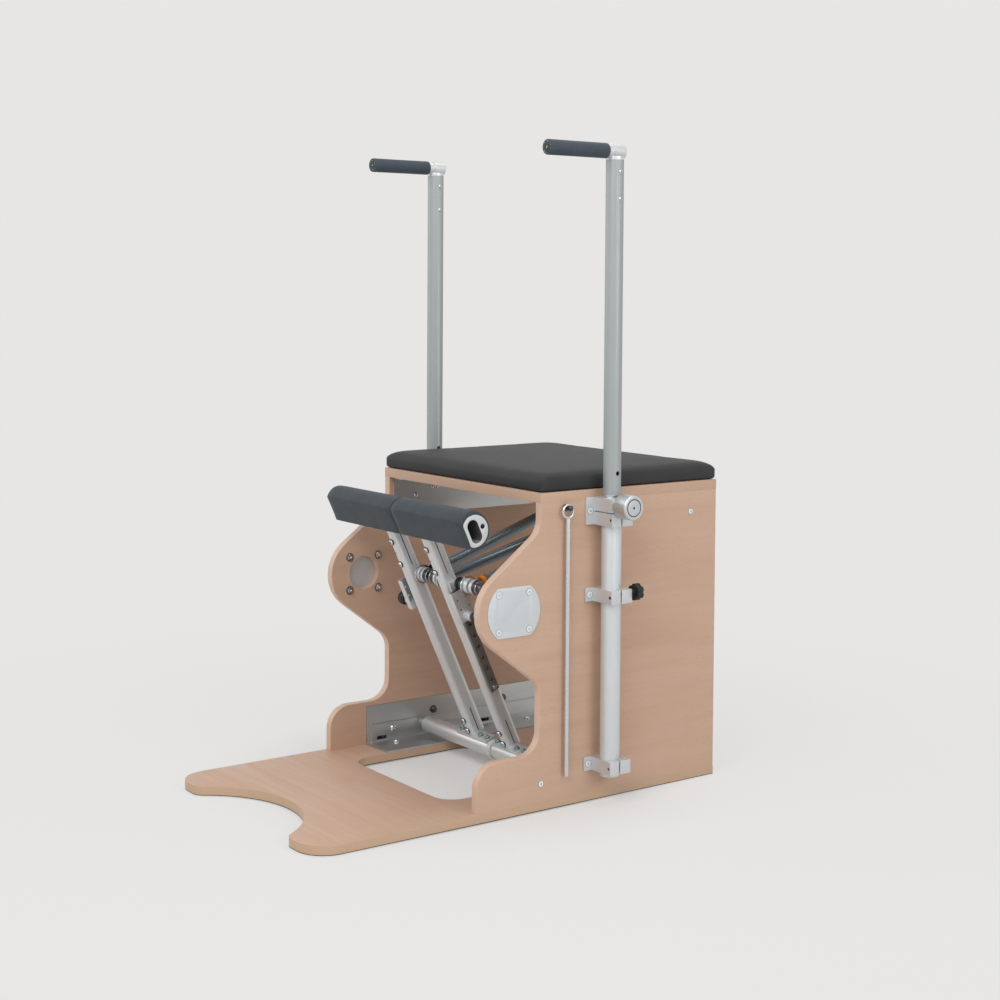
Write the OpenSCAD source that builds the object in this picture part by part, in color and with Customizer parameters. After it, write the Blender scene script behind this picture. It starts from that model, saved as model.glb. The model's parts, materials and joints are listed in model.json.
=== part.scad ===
// Pilates chair: plywood box with two spring-loaded pedals and two handle poles.
// The origin is on the floor, in the middle of the footprint. -Y is the front, +Z is up.

/* [Wooden frame] */
// Overall length of the base board, front tips to back edge
base_len = 964; // [920:2:1010]
// Width of the base, the panels and the seat
chair_w = 570; // [550:2:600]
// Thickness of the plywood panels and base
ply_t = 18; // [15:0.5:20]
// Thickness of the seat board
seat_t = 20; // [15:0.5:24]
// Depth of the seat, front to back
seat_d = 460; // [430:2:480]
// Height of the seat board's top above the floor
seat_top = 626; // [610:1:650]
// Thickness of the rubber feet
foot_t = 2; // [1:0.5:4]
// Diameter of the rubber feet
foot_d = 36; // [20:1:50]
// Height of the centre of the front bulge
bulge_z = 401; // [395:1:407]
// Radius of the front bulge
bulge_r = 82; // [78:1:86]
// How far the bulge centre is in front of the seat's front edge
bulge_out = 64; // [56:1:72]
// Width of the floor cut-out in the base board
cut_w = 362; // [340:2:380]
// Length of the floor cut-out
cut_len = 310; // [280:5:330]

/* [Cushion] */
// Height of the cushion's crown
cushion_h = 42; // [36:1:60]
// How far the cushion's edge is below its crown
crown_h = 8; // [4:1:14]
// Inset of the cushion from the board's edge
cushion_inset = 0.5; // [0.5:0.5:6]

/* [Metal brackets] */
// Thickness of the inner plates
plate_t = 4; // [3:0.5:5]
// Height of the tall lower plate
lower_plate_h = 85; // [80:1:92]
// Height of the upper inner plate
upper_plate_h = 84; // [76:1:92]
// Thickness of the front cover plates
cover_t = 2; // [1.5:0.5:3]
// Radius of the cover plates
cover_r = 62; // [58:1:66]
// Half height of the flats on the cover plates
cover_flat = 48.5; // [45:0.5:52]
// Radius of the round hole behind the cover plates
bulge_hole_r = 36; // [30:1:38]
// Half spacing of the cover screws
cover_screw = 36; // [33:0.5:38]

/* [Pivot] */
// Height of the pedals' pivot axle
pivot_z = 50; // [48:1:54]
// Distance of the axle behind the seat's front edge
pivot_back = 89.5; // [80:0.5:100]
// Diameter of the axle
axle_d = 25; // [20:0.5:26]
// Outer diameter of the pedal sleeves
sleeve_d = 36.5; // [34:0.5:38]
// Radial running clearance of sleeves, poles and pins
run_gap = 0.05; // [0.03:0.01:0.1]
// Outer diameter of the middle spacer ring
spacer_d = 41; // [39.5:0.5:44]
// Width of the middle spacer ring
spacer_w = 12; // [6:1:16]
// Distance of the spacer ring right of the chair's middle
split_x = 14; // [11:0.5:15]
// Gap between each sleeve's end and the bracket
sleeve_play = 14; // [4:1:20]

/* [Pedals] */
// Lean of the pedal arms from upright, in degrees
arm_lean = 24.6; // [22:0.1:27]
// Distance of each arm from the chair's middle
arm_x = 65; // [60:0.5:70]
// Width of the oval arm
arm_w = 25; // [22:0.5:28]
// Depth of the oval arm
arm_depth = 38; // [34:0.5:42]
// Wall of the oval arm
arm_wall = 2.5; // [2:0.25:3.5]
// Distance from the pivot to the pad's centre
pad_up = 555; // [540:1:565]
// Radius of the pad's core
pad_r = 31.5; // [30:0.5:34]
// Thickness of the pad's foam
foam_t = 4; // [3:0.5:6]
// Gap between the pads and the side panels
pad_side_gap = 15.3; // [12:0.1:20]
// Width of the slits in the arms
slit_w = 2.5; // [1.5:0.5:3]
// Diameter of the rod bore in the pad's core
rod_bore_d = 10; // [9.8:0.1:10.6]

/* [Springs] */
// Distance along the arm to the spring pin
pin_up = 407; // [404:1:412]
// Distance of the spring pin behind the arm's pivot line
pin_back = 22; // [21:0.5:23]
// Diameter of the spring pin
pin_d = 8; // [7:0.5:9]
// Outer diameter of the spring coils
coil_d = 24; // [20:0.5:26]
// Diameter of the spring wire
wire_d = 3; // [2:0.25:3.5]
// Curls of each spring
curls = 18; // [12:1:18]
// Distance of the inner springs from the middle, at the pin
inner_x = 29; // [27:0.5:31]
// Distance of the inner springs from the middle, at the anchor bar
inner_anchor_x = 75; // [70:1:85]
// Distance of the outer springs from the middle
outer_x = 144; // [142:0.5:146]
// Distance of the anchor bar below the top of the panels
anchor_drop = 31; // [26:1:41]
// Distance of the anchor bar from the chair's back edge
anchor_in = 30; // [26:1:40]
// Diameter of the anchor bar
anchor_d = 12; // [10:0.5:14]
// Diameter of the rollers that carry the spring eyes
roller_d = 31; // [28:0.5:33]
// Diameter of the flanges beside the rollers
flange_d = 39; // [35:0.5:40]
// Length of the inner rollers
inner_roller = 18; // [17:0.5:19]
// Length of the outer roller
outer_roller = 29; // [26:0.5:31]
// Width of the groove for a spring's eye
eye_groove = 7.5; // [7:0.5:8]

/* [Handle poles] */
// Distance of each pole's axis out from the panels
pole_out = 31.3; // [30:0.1:34]
// Distance of the poles behind the seat's front edge
pole_back = 151.6; // [140:0.1:170]
// Outer diameter of the upper pole
pole_d = 35.5; // [34:0.25:37]
// Outer diameter of the lower pole
lower_pole_d = 39.5; // [38.5:0.25:41]
// Wall of the upper pole
pole_wall = 2; // [1.5:0.25:3]
// Height of the upper pole's top
pole_top = 1274; // [1240:1:1300]
// Height of the lower end of the upper pole
pole_bottom = 282; // [262:1:300]
// Distance between index holes
index_pitch = 63; // [60:1:66]
// Diameter of the index holes
index_d = 9; // [7:0.5:10]
// Length of the handle's foam grip
grip_len = 146; // [120:1:170]
// Diameter of the handle's foam grip
grip_d = 30; // [28:0.5:34]

/* [Pole brackets] */
// Depth of the clamp blocks, front to back
block_d = 52; // [50:1:56]
// How far the clamp blocks stand out from the panels
block_out = 63; // [60:1:66]
// Height of the bottom of the foot clamps
foot_clamp_z = 65; // [55:1:80]
// Height of the bottom of the middle clamps
middle_clamp_z = 404; // [380:1:430]
// Height of the foot and middle clamps themselves
clamp_h = 27; // [24:1:32]
// Height of the top clamps themselves
top_clamp_h = 54; // [50:1:56]
// Distance of the top clamps' lower end below the top of the panels
top_clamp_drop = 49; // [47:1:54]
// Diameter of the silver index knobs
index_knob_d = 49; // [44:1:52]
// Diameter of the black star knobs
star_knob_d = 33; // [28:1:36]

/* [Connecting rod] */
// Diameter of the rod
rod_d = 9.5; // [9:0.1:9.6]
// Height of the rod's lower end
rod_bottom = 64; // [50:1:100]
// Distance of the rod's stud below the top of the panels
stud_drop = 12; // [9:1:16]
// Distance of the stud behind the seat's front edge
stud_back = 60; // [56:1:66]

/* [Hidden] */

// Smooth circles; every bore uses more than twelve sides
$fn = 64;

// Places that follow from the sizes above
block_shift = 1.4;
half_w = chair_w / 2;
pole_x = half_w + pole_out;
back_y = base_len / 2;
front_y = back_y - seat_d;
board_top = foot_t + ply_t;
panel_top = seat_top - seat_t;
anchor_z = panel_top - anchor_drop;
stud_z = panel_top - stud_drop;
top_clamp_z = panel_top - top_clamp_drop;
inner_x_face = half_w - ply_t;
bulge_y = front_y - bulge_out;
pivot_y = front_y + pivot_back;
pole_y = front_y + pole_back;
block_y = pole_y - block_d / 2 + block_shift;
anchor_y = back_y - anchor_in;
stud_y = front_y + stud_back;

// Plywood outlines
neck_r = 46;
foot_neck_r = 45;
toe_r = 48;
toe_out = 148;
toe_z = 114.5;
bulge_reach = 136.2;
neck_rise = 150.9;
tip_r = 60;
tip_inner_r = 30;
scoop_r = 213.8;
scoop_depth = 110;
cut_r = 45;
cut_front = front_y - 149;

// Cushion
cushion_round = 26;
corner_steps = 6;
side_steps = 5;
cushion_sides = 4 * (corner_steps + side_steps);
draw_in = 2;
side_bow = 1.5;

// Inner metalwork
plate_back_gap = 15;
upper_plate_front = front_y + 12;
upper_flange_w = 34;
lower_plate_front = front_y - 58;
angle_front = front_y - 50;
angle_t = 5;
angle_h = 44;
plate_slot = [26, 8];
plate_slot_z = 33;
plate_slots_back = [-36, 241];
foot_edge = 12;
foot_tip_in = 22;

// Pedal parts, in the pedal's own frame: Z runs up the arm and Y points back
sleeve_gap = 0.3;
sleeve_end = inner_x_face - plate_t - angle_t - sleeve_play;
sleeve_round = 3;
arm_front = -4.5;
arm_mid = arm_front + arm_depth / 2;
arm_low = 22;
seat_gap = 0.05;
slit_low = 80;
slit_high = 431;
post_low = 442;
foot_left = 42;
foot_right = 68;
foot_front = -9;
foot_back = 17;
foot_t_low = 16.5;
foot_hole_d = 5;
foot_holes = [-33, 35, 59];
foot_hole_back = 3;
pad_back = 9.2;
pad_flat = -10.8;
pad_hollow = [25, 48];
pad_lip_low = 23;
pad_lip_high = 24.5;
pad_lip_r = 4;
pad_brow_r = 12;
pad_brow = [24, 4];
pad_chin = 12;
pad_room = 8;
pad_gap = 1;
pad_w = inner_x_face - pad_side_gap - pad_gap;
rod_bore_up = pad_up - 0.4;
rod_bore_back = 29.6;
foam_top = 4;
foam_clear = 0.3;
rack_t = 8;
rack_w = 20;
rack_low = 155;
rack_high = pin_up + 7;
rack_hole_d = 8;
rack_pitch = 26.4;
rack_first = 181;
carriage_low = pin_up - 77;
carriage_high = pin_up - 10;
carriage_out = 100;
carriage_holes_up = [27.5, 48.4];
carriage_hole_back = 1.3;
carriage_cut_up = 16;
carriage_front = -8;
carriage_back = 30;
carriage_wall = 2;
carriage_hole_d = 5;
knob_up = pin_up - 67;
knob_back = 10;
plunger_d = 6;
collar_out = 120;
collar_d = 20;
pull_knob_d = 29;
pull_knob_in = 125;
pull_knob_out = 143;
pull_knob_taper = [3, 6];
plunger_back = 8;

// Springs
coil_r = (coil_d - wire_d) / 2;
wire_r = wire_d / 2;
wire_sides = 6;
curl_rings = 8;
hook_room = 1.5;
pin_hook_r = pin_d / 2 + wire_r + hook_room;
anchor_hook_r = anchor_d / 2 + wire_r + hook_room;
hook_touch = 0.4;
hub_flange_t = 3;
hub_spacer_d = 18;
rack_spacer_d = 16;
washer_d = 25;
washer_t = 4.5;
washer_rest = 1.5;
outer_washer_back = 18;
outer_shift = 1.5;
pin_rest = 2;
stop_d = 30;
stop_w = 13;
rim_t = 1.5;
rim_d = 31;
end_nut_d = 22;
end_nut_w = 11;
hook_rings = 9;
shank = 24;
anchor_shank = 32;
ring_clear = 0.4;
ring_wall = 2;
ring_len = 14;
ring_from = 19.5;
pin_at = place_on_pedal(pin_up, pin_back);
anchor_at = [anchor_y, anchor_z];

// Poles and their brackets
pole_below = 8;
pole_above = 1;
index_up = 40;
kerf_up = 26.5;
star_rise = 6;
grip_up = 17;
lower_pole_low = foot_clamp_z - pole_below;
lower_pole_high = top_clamp_z + top_clamp_h + pole_above;
bushing_h = 6;
index_z = top_clamp_z + index_up;
holes_up = 1;
holes_down = 3;
flange_t = 5;
flange_front = 18.5;
flange_hole_d = 6;
slot_w = 3;
kerf_z = top_clamp_z + kerf_up;
kerf_t = 2;
kerf_in = 9;
star_z = middle_clamp_z + clamp_h / 2 + star_rise;
clamp_bolt_in = 5;
clamp_bolt_d = 6;
index_pin_d = 8;
knob_gap = 0.5;
pin_gap = 0.4;
index_knob_w = 36;
star_bolt_in = 12;
star_stem = 8;
star_w = 14;
star_neck_d = 14;
star_notch_r = 6;
star_notch_out = 3.5;
knob_groove_in = 7;
knob_groove_w = 1.8;
knob_groove_t = 2.5;
knob_socket_d = 5;
knob_socket_t = 4;
grip_z = pole_top + grip_up;
fitting_d = 30;
fitting_front = 10;
fitting_back = 18;
neck_d = 27;
neck_len = 12;
grip_core_d = 22;
spigot_len = 34;
collar_h = 7;

// Stored rod
rod_out = 9;
rod_x = half_w + rod_out;
ring_wire_d = 5;
ring_d = 30;
stud_neck_d = 6;
stud_ball_d = 11;
stud_gap = 0.3;
stud_foot_d = 14;
stud_foot_t = 3;

// Fillet path: points are [x, y, corner radius]
function unit(v) = v / norm(v);
function corner(a, b, c) =
    let (p = [b[0], b[1]], u = unit([a[0], a[1]] - p), v = unit([c[0], c[1]] - p))
    let (half = acos(u * v) / 2, m = p + unit(u + v) * b[2] / sin(half))
    let (n = b[2] < 20 ? 4 : 8, start = p + u * b[2] / tan(half), stop = p + v * b[2] / tan(half))
    let (a0 = atan2(start[1] - m[1], start[0] - m[0]), a1 = atan2(stop[1] - m[1], stop[0] - m[0]))
    let (turn = (a1 - a0) > 180 ? a1 - a0 - 360 : (a1 - a0) < -180 ? a1 - a0 + 360 : a1 - a0)
    [for (i = [0 : n]) m + b[2] * [cos(a0 + turn * i / n), sin(a0 + turn * i / n)]];
function rounded(pts) = [
    for (i = [0 : len(pts) - 1])
        let (p = pts[i], a = pts[(i + len(pts) - 1) % len(pts)], c = pts[(i + 1) % len(pts)])
        each (p[2] > 0 ? corner(a, p, c) : [[p[0], p[1]]])
];

// A point given by its distance up the arm and behind it, as [y, z]
function place_on_pedal(up, back) = [
    pivot_y - up * sin(arm_lean) + back * cos(arm_lean),
    pivot_z + up * cos(arm_lean) + back * sin(arm_lean)
];

module on_side(s) {
    if (s > 0) children();
    else mirror([1, 0, 0]) children();
}

// Cylinder along +X from x0 to x1
module bar_x(d, x0, x1) {
    translate([x0, 0, 0]) rotate([0, 90, 0]) cylinder(d = d, h = x1 - x0);
}

// Cylinder along +Y from y0 to y1
module bar_y(d, y0, y1) {
    translate([0, y0, 0]) rotate([-90, 0, 0]) cylinder(d = d, h = y1 - y0);
}

// Extrudes a [y, z] outline along X from x0 to x1
module slab_x(x0, x1) {
    translate([x0, 0, 0]) rotate([90, 0, 90]) linear_extrude(x1 - x0) children();
}

// Places parts given in the pedal's own frame
module on_pedal() {
    translate([0, pivot_y, pivot_z]) rotate([arm_lean, 0, 0]) children();
}

// Wood

// Points on a circle about c from angle a0 to a1
function arc(c, r, a0, a1, n) = [for (i = [0 : n]) let (a = a0 + (a1 - a0) * i / n) c + r * [cos(a), sin(a)]];

// The front scoop is tangent to a small round on the inside of each tip
module base_outline() {
    tip_y = -back_y;
    rise = tip_inner_r + scoop_r - scoop_depth;
    round_x = sqrt(pow(tip_inner_r + scoop_r, 2) - rise * rise);
    lean = atan2(rise, round_x);
    outer = rounded([
        [-half_w, tip_y, tip_r], [-half_w, back_y, 0], [half_w, back_y, 0], [half_w, tip_y, tip_r],
        [0, tip_y, 0]
    ]);
    round_y = tip_y + tip_inner_r;
    scoop_y = tip_y + scoop_depth - scoop_r;
    polygon(concat(
        [for (p = outer) if (p != [0, tip_y]) p],
        arc([round_x, round_y], tip_inner_r, -90, lean - 180, 8),
        arc([0, scoop_y], scoop_r, lean, 180 - lean, 32),
        arc([-round_x, round_y], tip_inner_r, -lean, -90, 8)
    ));
}

module base_board() {
    half_cut = cut_w / 2;
    cut_back = cut_front + cut_len;
    color("burlywood") translate([0, 0, foot_t]) linear_extrude(ply_t) difference() {
        base_outline();
        polygon(rounded([
            [-half_cut, cut_front, cut_r], [half_cut, cut_front, cut_r],
            [half_cut, cut_back, cut_r], [-half_cut, cut_back, cut_r]
        ]));
    }
}

module rubber_feet() {
    foot_in = foot_d / 2 + foot_edge;
    color("black") for (s = [-1, 1], y = [-back_y + foot_d + foot_tip_in, 0, back_y - foot_in])
        translate([s * (half_w - foot_in), y, 0]) cylinder(d = foot_d, h = foot_t);
}

module panel_outline() {
    tip_y = front_y - bulge_out - bulge_reach;
    polygon(rounded([
        [back_y, panel_top, 0], [front_y, panel_top, 0],
        [front_y, bulge_z + neck_rise, neck_r], [tip_y, bulge_z, bulge_r],
        [front_y, bulge_z - neck_rise, neck_r], [front_y, toe_z, foot_neck_r],
        [front_y - toe_out, toe_z, toe_r], [front_y - toe_out, board_top, 0], [back_y, board_top, 0]
    ]));
}

module side_panel(s) {
    color("burlywood") on_side(s) difference() {
        slab_x(inner_x_face, half_w) panel_outline();
        translate([0, bulge_y, bulge_z]) bar_x(2 * bulge_hole_r, inner_x_face - 1, half_w + 1);
    }
}

module seat_board() {
    color("burlywood") translate([-half_w, front_y, panel_top]) cube([chair_w, seat_d, seat_t]);
}

// Cushion: stacked rounded outlines, sides drawn in under the edge, then a crown
function lerp(a, b, t) = a + (b - a) * t;
function cushion_corner(k, c, t) =
    let (r = max(cushion_round - k / 2, 6), a = 90 * c + 90 * t)
    let (hx = half_w - cushion_inset - k - r, hy = seat_d / 2 - cushion_inset - k - r)
    [(c == 0 || c == 3 ? hx : -hx) + r * cos(a), (c < 2 ? hy : -hy) + r * sin(a)];
// The sides are drawn in a little between the corners
function side_point(k, c, t) =
    let (a = 90 * (c + 1))
    lerp(cushion_corner(k, c, 1), cushion_corner(k, (c + 1) % 4, 0), t)
        - side_bow * sin(180 * t) * [cos(a), sin(a)];
function cushion_ring(k, z) = [
    for (c = [0 : 3], i = [0 : corner_steps + side_steps - 1])
        let (q = i <= corner_steps ? cushion_corner(k, c, i / corner_steps)
            : side_point(k, c, (i - corner_steps) / side_steps))
        [q[0], q[1], z]
];
function cushion_levels() =
    let (edge = cushion_h - crown_h, reach = seat_d / 2 - cushion_inset)
    concat(
        [for (t = [0, 0.15, 0.4, 0.65, 0.85]) [draw_in * sin(180 * t), edge * t]],
        [[0, edge * 0.94], [1.5, edge], [5, edge + 2]],
        [for (t = [0.08, 0.16, 0.28, 0.42, 0.58, 0.74, 0.86])
            [reach * t, edge + 2 + (crown_h - 2) * sin(90 * t)]]
    );

module seat_cushion() {
    levels = cushion_levels();
    n = cushion_sides;
    rows = len(levels);
    points = concat([for (l = levels) each cushion_ring(l[0], l[1])], [[0, 0, cushion_h]]);
    walls = [for (r = [0 : rows - 2], i = [0 : n - 1])
        each [
            [r * n + i, (r + 1) * n + i, (r + 1) * n + (i + 1) % n],
            [r * n + i, (r + 1) * n + (i + 1) % n, r * n + (i + 1) % n]
        ]];
    cap = [for (i = [0 : n - 1]) [(rows - 1) * n + i, rows * n, (rows - 1) * n + (i + 1) % n]];
    floor_face = [[for (i = [0 : n - 1]) i]];
    color("dimgray") translate([0, front_y + seat_d / 2, seat_top])
        polyhedron(points, concat(walls, cap, floor_face));
}

// Inner metalwork

module upper_bracket(s) {
    color("silver") on_side(s) {
        translate([inner_x_face - plate_t, upper_plate_front, panel_top - upper_plate_h])
            cube([plate_t, back_y - plate_back_gap - upper_plate_front, upper_plate_h]);
        translate([inner_x_face - upper_flange_w, upper_plate_front, panel_top - plate_t])
            cube([upper_flange_w, back_y - plate_back_gap - upper_plate_front, plate_t]);
    }
}

module lower_bracket(s) {
    face = inner_x_face - plate_t;
    back = back_y - plate_back_gap;
    color("silver") on_side(s) difference() {
        union() {
            translate([face, lower_plate_front, board_top])
                cube([plate_t, back - lower_plate_front, lower_plate_h]);
            translate([face - angle_t, angle_front, board_top])
                cube([angle_t, back - angle_front, angle_h]);
            translate([cut_w / 2, lower_plate_front, board_top])
                cube([face - cut_w / 2, back - lower_plate_front, plate_t]);
        }
        for (y = plate_slots_back) translate([0, front_y + y, plate_slot_z - plate_slot[1] / 2])
            slab_x(face - angle_t - 1, inner_x_face + 1) stadium(plate_slot[0], plate_slot[1]);
    }
}

// Slot outline with round ends, its corner at the origin
module stadium(l, w) {
    translate([w / 2, w / 2]) circle(d = w, $fn = 32);
    translate([l - w / 2, w / 2]) circle(d = w, $fn = 32);
    translate([w / 2, 0]) square([l - w, w]);
}

module pivot_axle() {
    half = inner_x_face - plate_t - angle_t;
    color("silver") translate([0, pivot_y, pivot_z]) {
        bar_x(axle_d, -half, half);
        bar_x(spacer_d, split_x - spacer_w / 2, split_x + spacer_w / 2);
    }
}

module cover_plate(s) {
    color("silver") on_side(s) translate([0, bulge_y, bulge_z]) difference() {
        slab_x(half_w, half_w + cover_t) intersection() {
            circle(r = cover_r, $fn = 96);
            square([2 * cover_r, 2 * cover_flat], center = true);
        }
        for (y = [-1, 1], z = [-1, 1]) translate([0, y * cover_screw, z * cover_screw])
            bar_x(flange_hole_d, half_w - 1, half_w + cover_t + 1);
    }
}

module spring_anchor_bar() {
    half = inner_x_face - plate_t;
    color("silver") translate([0, anchor_y, anchor_z]) bar_x(anchor_d, -half, half);
}

// Handle poles

module lower_pole(s) {
    color("silver") on_side(s) translate([pole_x, pole_y, 0]) difference() {
        translate([0, 0, lower_pole_low]) cylinder(d = lower_pole_d, h = lower_pole_high - lower_pole_low);
        translate([0, 0, lower_pole_low - 1])
            cylinder(d = pole_d + 2 * run_gap, h = lower_pole_high - lower_pole_low + 2);
        translate([0, 0, index_z]) bar_x(index_d, 0, lower_pole_d);
    }
}

module pole_bushing(s) {
    color("whitesmoke") on_side(s) translate([pole_x, pole_y, lower_pole_high]) difference() {
        cylinder(d = lower_pole_d - 1, h = bushing_h);
        translate([0, 0, -1]) cylinder(d = pole_d + 2 * run_gap, h = bushing_h + 2);
    }
}

module upper_pole(s) {
    color("silver") on_side(s) translate([pole_x, pole_y, 0]) difference() {
        translate([0, 0, pole_bottom]) cylinder(d = pole_d, h = pole_top - pole_bottom);
        translate([0, 0, pole_bottom - 1])
            cylinder(d = pole_d - 2 * pole_wall, h = pole_top - pole_bottom + 2);
        for (k = [-holes_down : holes_up])
            translate([0, 0, index_z + k * index_pitch]) bar_x(index_d, 0, pole_d);
    }
}

module handle_fitting(s) {
    front = pole_y - fitting_front;
    color("silver") on_side(s) translate([pole_x, 0, grip_z]) {
        bar_y(fitting_d, front, pole_y + fitting_back);
        bar_y(neck_d, front - neck_len, front);
        bar_y(grip_core_d, front - neck_len - grip_len, front - neck_len);
        translate([0, pole_y, pole_top - grip_z]) cylinder(d = pole_d, h = collar_h);
        translate([0, pole_y, pole_top - grip_z - spigot_len])
            cylinder(d = pole_d - 2 * pole_wall - 2 * seat_gap, h = spigot_len + 1);
    }
}

module handle_grip(s) {
    end = pole_y - fitting_front - neck_len;
    r = grip_d / 2;
    color("darkslategray") on_side(s) translate([pole_x, end, grip_z]) rotate([90, 0, 0])
        rotate_extrude() polygon(rounded([
            [grip_core_d / 2 + seat_gap, 0, 0], [r, 0, 2], [r, grip_len, 3],
            [grip_core_d / 2 + seat_gap, grip_len, 0]
        ]));
}

// Clamp block with its flange, pole bore and the slit on its outer face
module clamp_block(low, h) {
    mid = low + h / 2;
    difference() {
        union() {
            translate([half_w, block_y, low]) cube([block_out, block_d, h]);
            translate([half_w, block_y - flange_front, low]) cube([flange_t, flange_front, h]);
        }
        translate([pole_x, pole_y, low - 1]) cylinder(d = lower_pole_d + 2 * run_gap, h = h + 2);
        translate([pole_x, pole_y - slot_w / 2, low - 1]) cube([block_out, slot_w, h + 2]);
        translate([0, block_y - flange_front / 2 + 1, mid])
            bar_x(flange_hole_d, half_w - 1, half_w + flange_t + 1);
    }
}

// Clearance hole for the clamp bolt that closes the slit
module clamp_bolt_hole(z, from = block_y - 1) {
    translate([half_w + block_out - clamp_bolt_in, 0, z])
        bar_y(clamp_bolt_d, from, block_y + block_d + 1);
}

module foot_bracket(s) {
    color("silver") on_side(s) difference() {
        clamp_block(foot_clamp_z, clamp_h);
        clamp_bolt_hole(foot_clamp_z + clamp_h / 2);
    }
}

module middle_bracket(s) {
    color("silver") on_side(s) difference() {
        clamp_block(middle_clamp_z, clamp_h);
        clamp_bolt_hole(star_z, block_y + star_bolt_in - 1);
    }
}

module top_bracket(s) {
    color("silver") on_side(s) difference() {
        clamp_block(top_clamp_z, top_clamp_h);
        clamp_bolt_hole((top_clamp_z + kerf_z) / 2);
        translate([half_w + kerf_in, block_y - 1, kerf_z - kerf_t / 2])
            cube([block_out, block_d + 2, kerf_t]);
        translate([0, pole_y, index_z]) bar_x(index_pin_d + 2 * run_gap, pole_x, half_w + block_out + 1);
    }
}

// Silver pull knob whose pin points at the index holes
module index_knob(s) {
    face = half_w + block_out + knob_gap;
    r = index_knob_d / 2;
    w = index_knob_w;
    groove = r - knob_groove_in;
    tip = pole_x + pole_d / 2 + pin_gap;
    color("silver") on_side(s) translate([0, pole_y, index_z]) {
        bar_x(index_pin_d, tip, face + 1);
        difference() {
            translate([face, 0, 0]) rotate([0, 90, 0]) rotate_extrude($fn = 96) polygon(rounded([
                [0, 0, 0], [r, 0, 1.5], [r, w, 2.5], [groove, w, 0],
                [groove, w - knob_groove_t, 0], [groove - knob_groove_w, w - knob_groove_t, 0],
                [groove - knob_groove_w, w, 0], [0, w, 0]
            ]));
            translate([face + w - knob_socket_t, 0, 0]) rotate([0, 90, 0])
                cylinder(d = knob_socket_d, h = knob_socket_t + 1, $fn = 6);
        }
    }
}

// Black star knob on the threaded end of the middle clamp's bolt
module star_knob(s) {
    back = block_y + block_d;
    r = star_knob_d / 2;
    color("black") on_side(s) translate([half_w + block_out - clamp_bolt_in, 0, star_z]) {
        bar_y(clamp_bolt_d - 2 * run_gap, block_y + star_bolt_in, back + star_stem);
        bar_y(star_neck_d, back + knob_gap, back + star_stem);
        translate([0, back + star_stem, 0]) rotate([-90, 0, 0]) difference() {
            cylinder(r = r, h = star_w);
            for (a = [0 : 60 : 300]) rotate(a) translate([r + star_notch_out, 0, -1])
                cylinder(r = star_notch_r, h = star_w + 2);
        }
    }
}

// Connecting rod and its stud

module storage_stud() {
    ring_mid = rod_x - half_w;
    color("silver") translate([half_w, stud_y, stud_z]) {
        bar_x(stud_foot_d, 0, stud_foot_t);
        bar_x(stud_neck_d, 0, ring_mid + ring_wire_d);
        translate([ring_mid + ring_wire_d / 2 + stud_ball_d / 2 - 0.5, 0, 0])
            sphere(d = stud_ball_d, $fn = 48);
    }
}

module connecting_rod() {
    mean_r = (ring_d - ring_wire_d) / 2;
    ring_z = stud_z + stud_neck_d / 2 + stud_gap - (mean_r - ring_wire_d / 2);
    top = ring_z - mean_r;
    color("silver") translate([rod_x, stud_y, 0]) {
        translate([0, 0, ring_z]) rotate([0, 90, 0]) rotate_extrude($fn = 48)
            translate([mean_r, 0]) circle(d = ring_wire_d, $fn = 32);
        translate([0, 0, rod_bottom]) cylinder(d = rod_d, h = top - rod_bottom - 1);
    }
}

// Pedals, drawn for the right side in the pedal's own frame

module pedal_sleeve(s) {
    r = sleeve_d / 2;
    bore = axle_d / 2 + run_gap;
    from = s > 0 ? split_x + spacer_w / 2 + sleeve_gap : -sleeve_end;
    len = sleeve_end - spacer_w / 2 - sleeve_gap - s * split_x;
    color("silver") on_pedal() translate([from, 0, 0]) rotate([0, 90, 0])
        rotate_extrude($fn = 96) polygon(rounded([
            [bore, 0, 0], [r, 0, sleeve_round], [r, len, sleeve_round], [bore, len, 0]
        ]));
}

// Oval section of the arm, drawn across the arm
module arm_oval(inset) {
    r = arm_w / 2 - inset;
    reach = arm_depth / 2 - arm_w / 2;
    translate([arm_x, arm_mid]) {
        translate([0, reach]) circle(r = r);
        translate([0, -reach]) circle(r = r);
        square([2 * r, 2 * reach], center = true);
    }
}

// Foot of the arm: a flat strip seated on the sleeve, with a spigot up into the arm
module arm_clamp(s) {
    r = sleeve_d / 2 + seat_gap;
    at = s * arm_x;
    color("silver") on_pedal() difference() {
        union() {
            translate([at - foot_left, foot_front, foot_t_low])
                cube([foot_left + foot_right, foot_back - foot_front, arm_low - foot_t_low]);
            translate([at - arm_x, 0, foot_t_low]) linear_extrude(arm_low - foot_t_low) arm_oval(0);
            translate([at - arm_x, 0, arm_low - 1]) linear_extrude(slit_low - arm_low)
                arm_oval(arm_wall + seat_gap);
        }
        bar_x(2 * r, at - foot_left - 1, at + foot_right + 1);
        for (x = foot_holes) translate([at + x, foot_hole_back, 0]) cylinder(d = foot_hole_d, h = arm_low + 1);
    }
}

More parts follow.
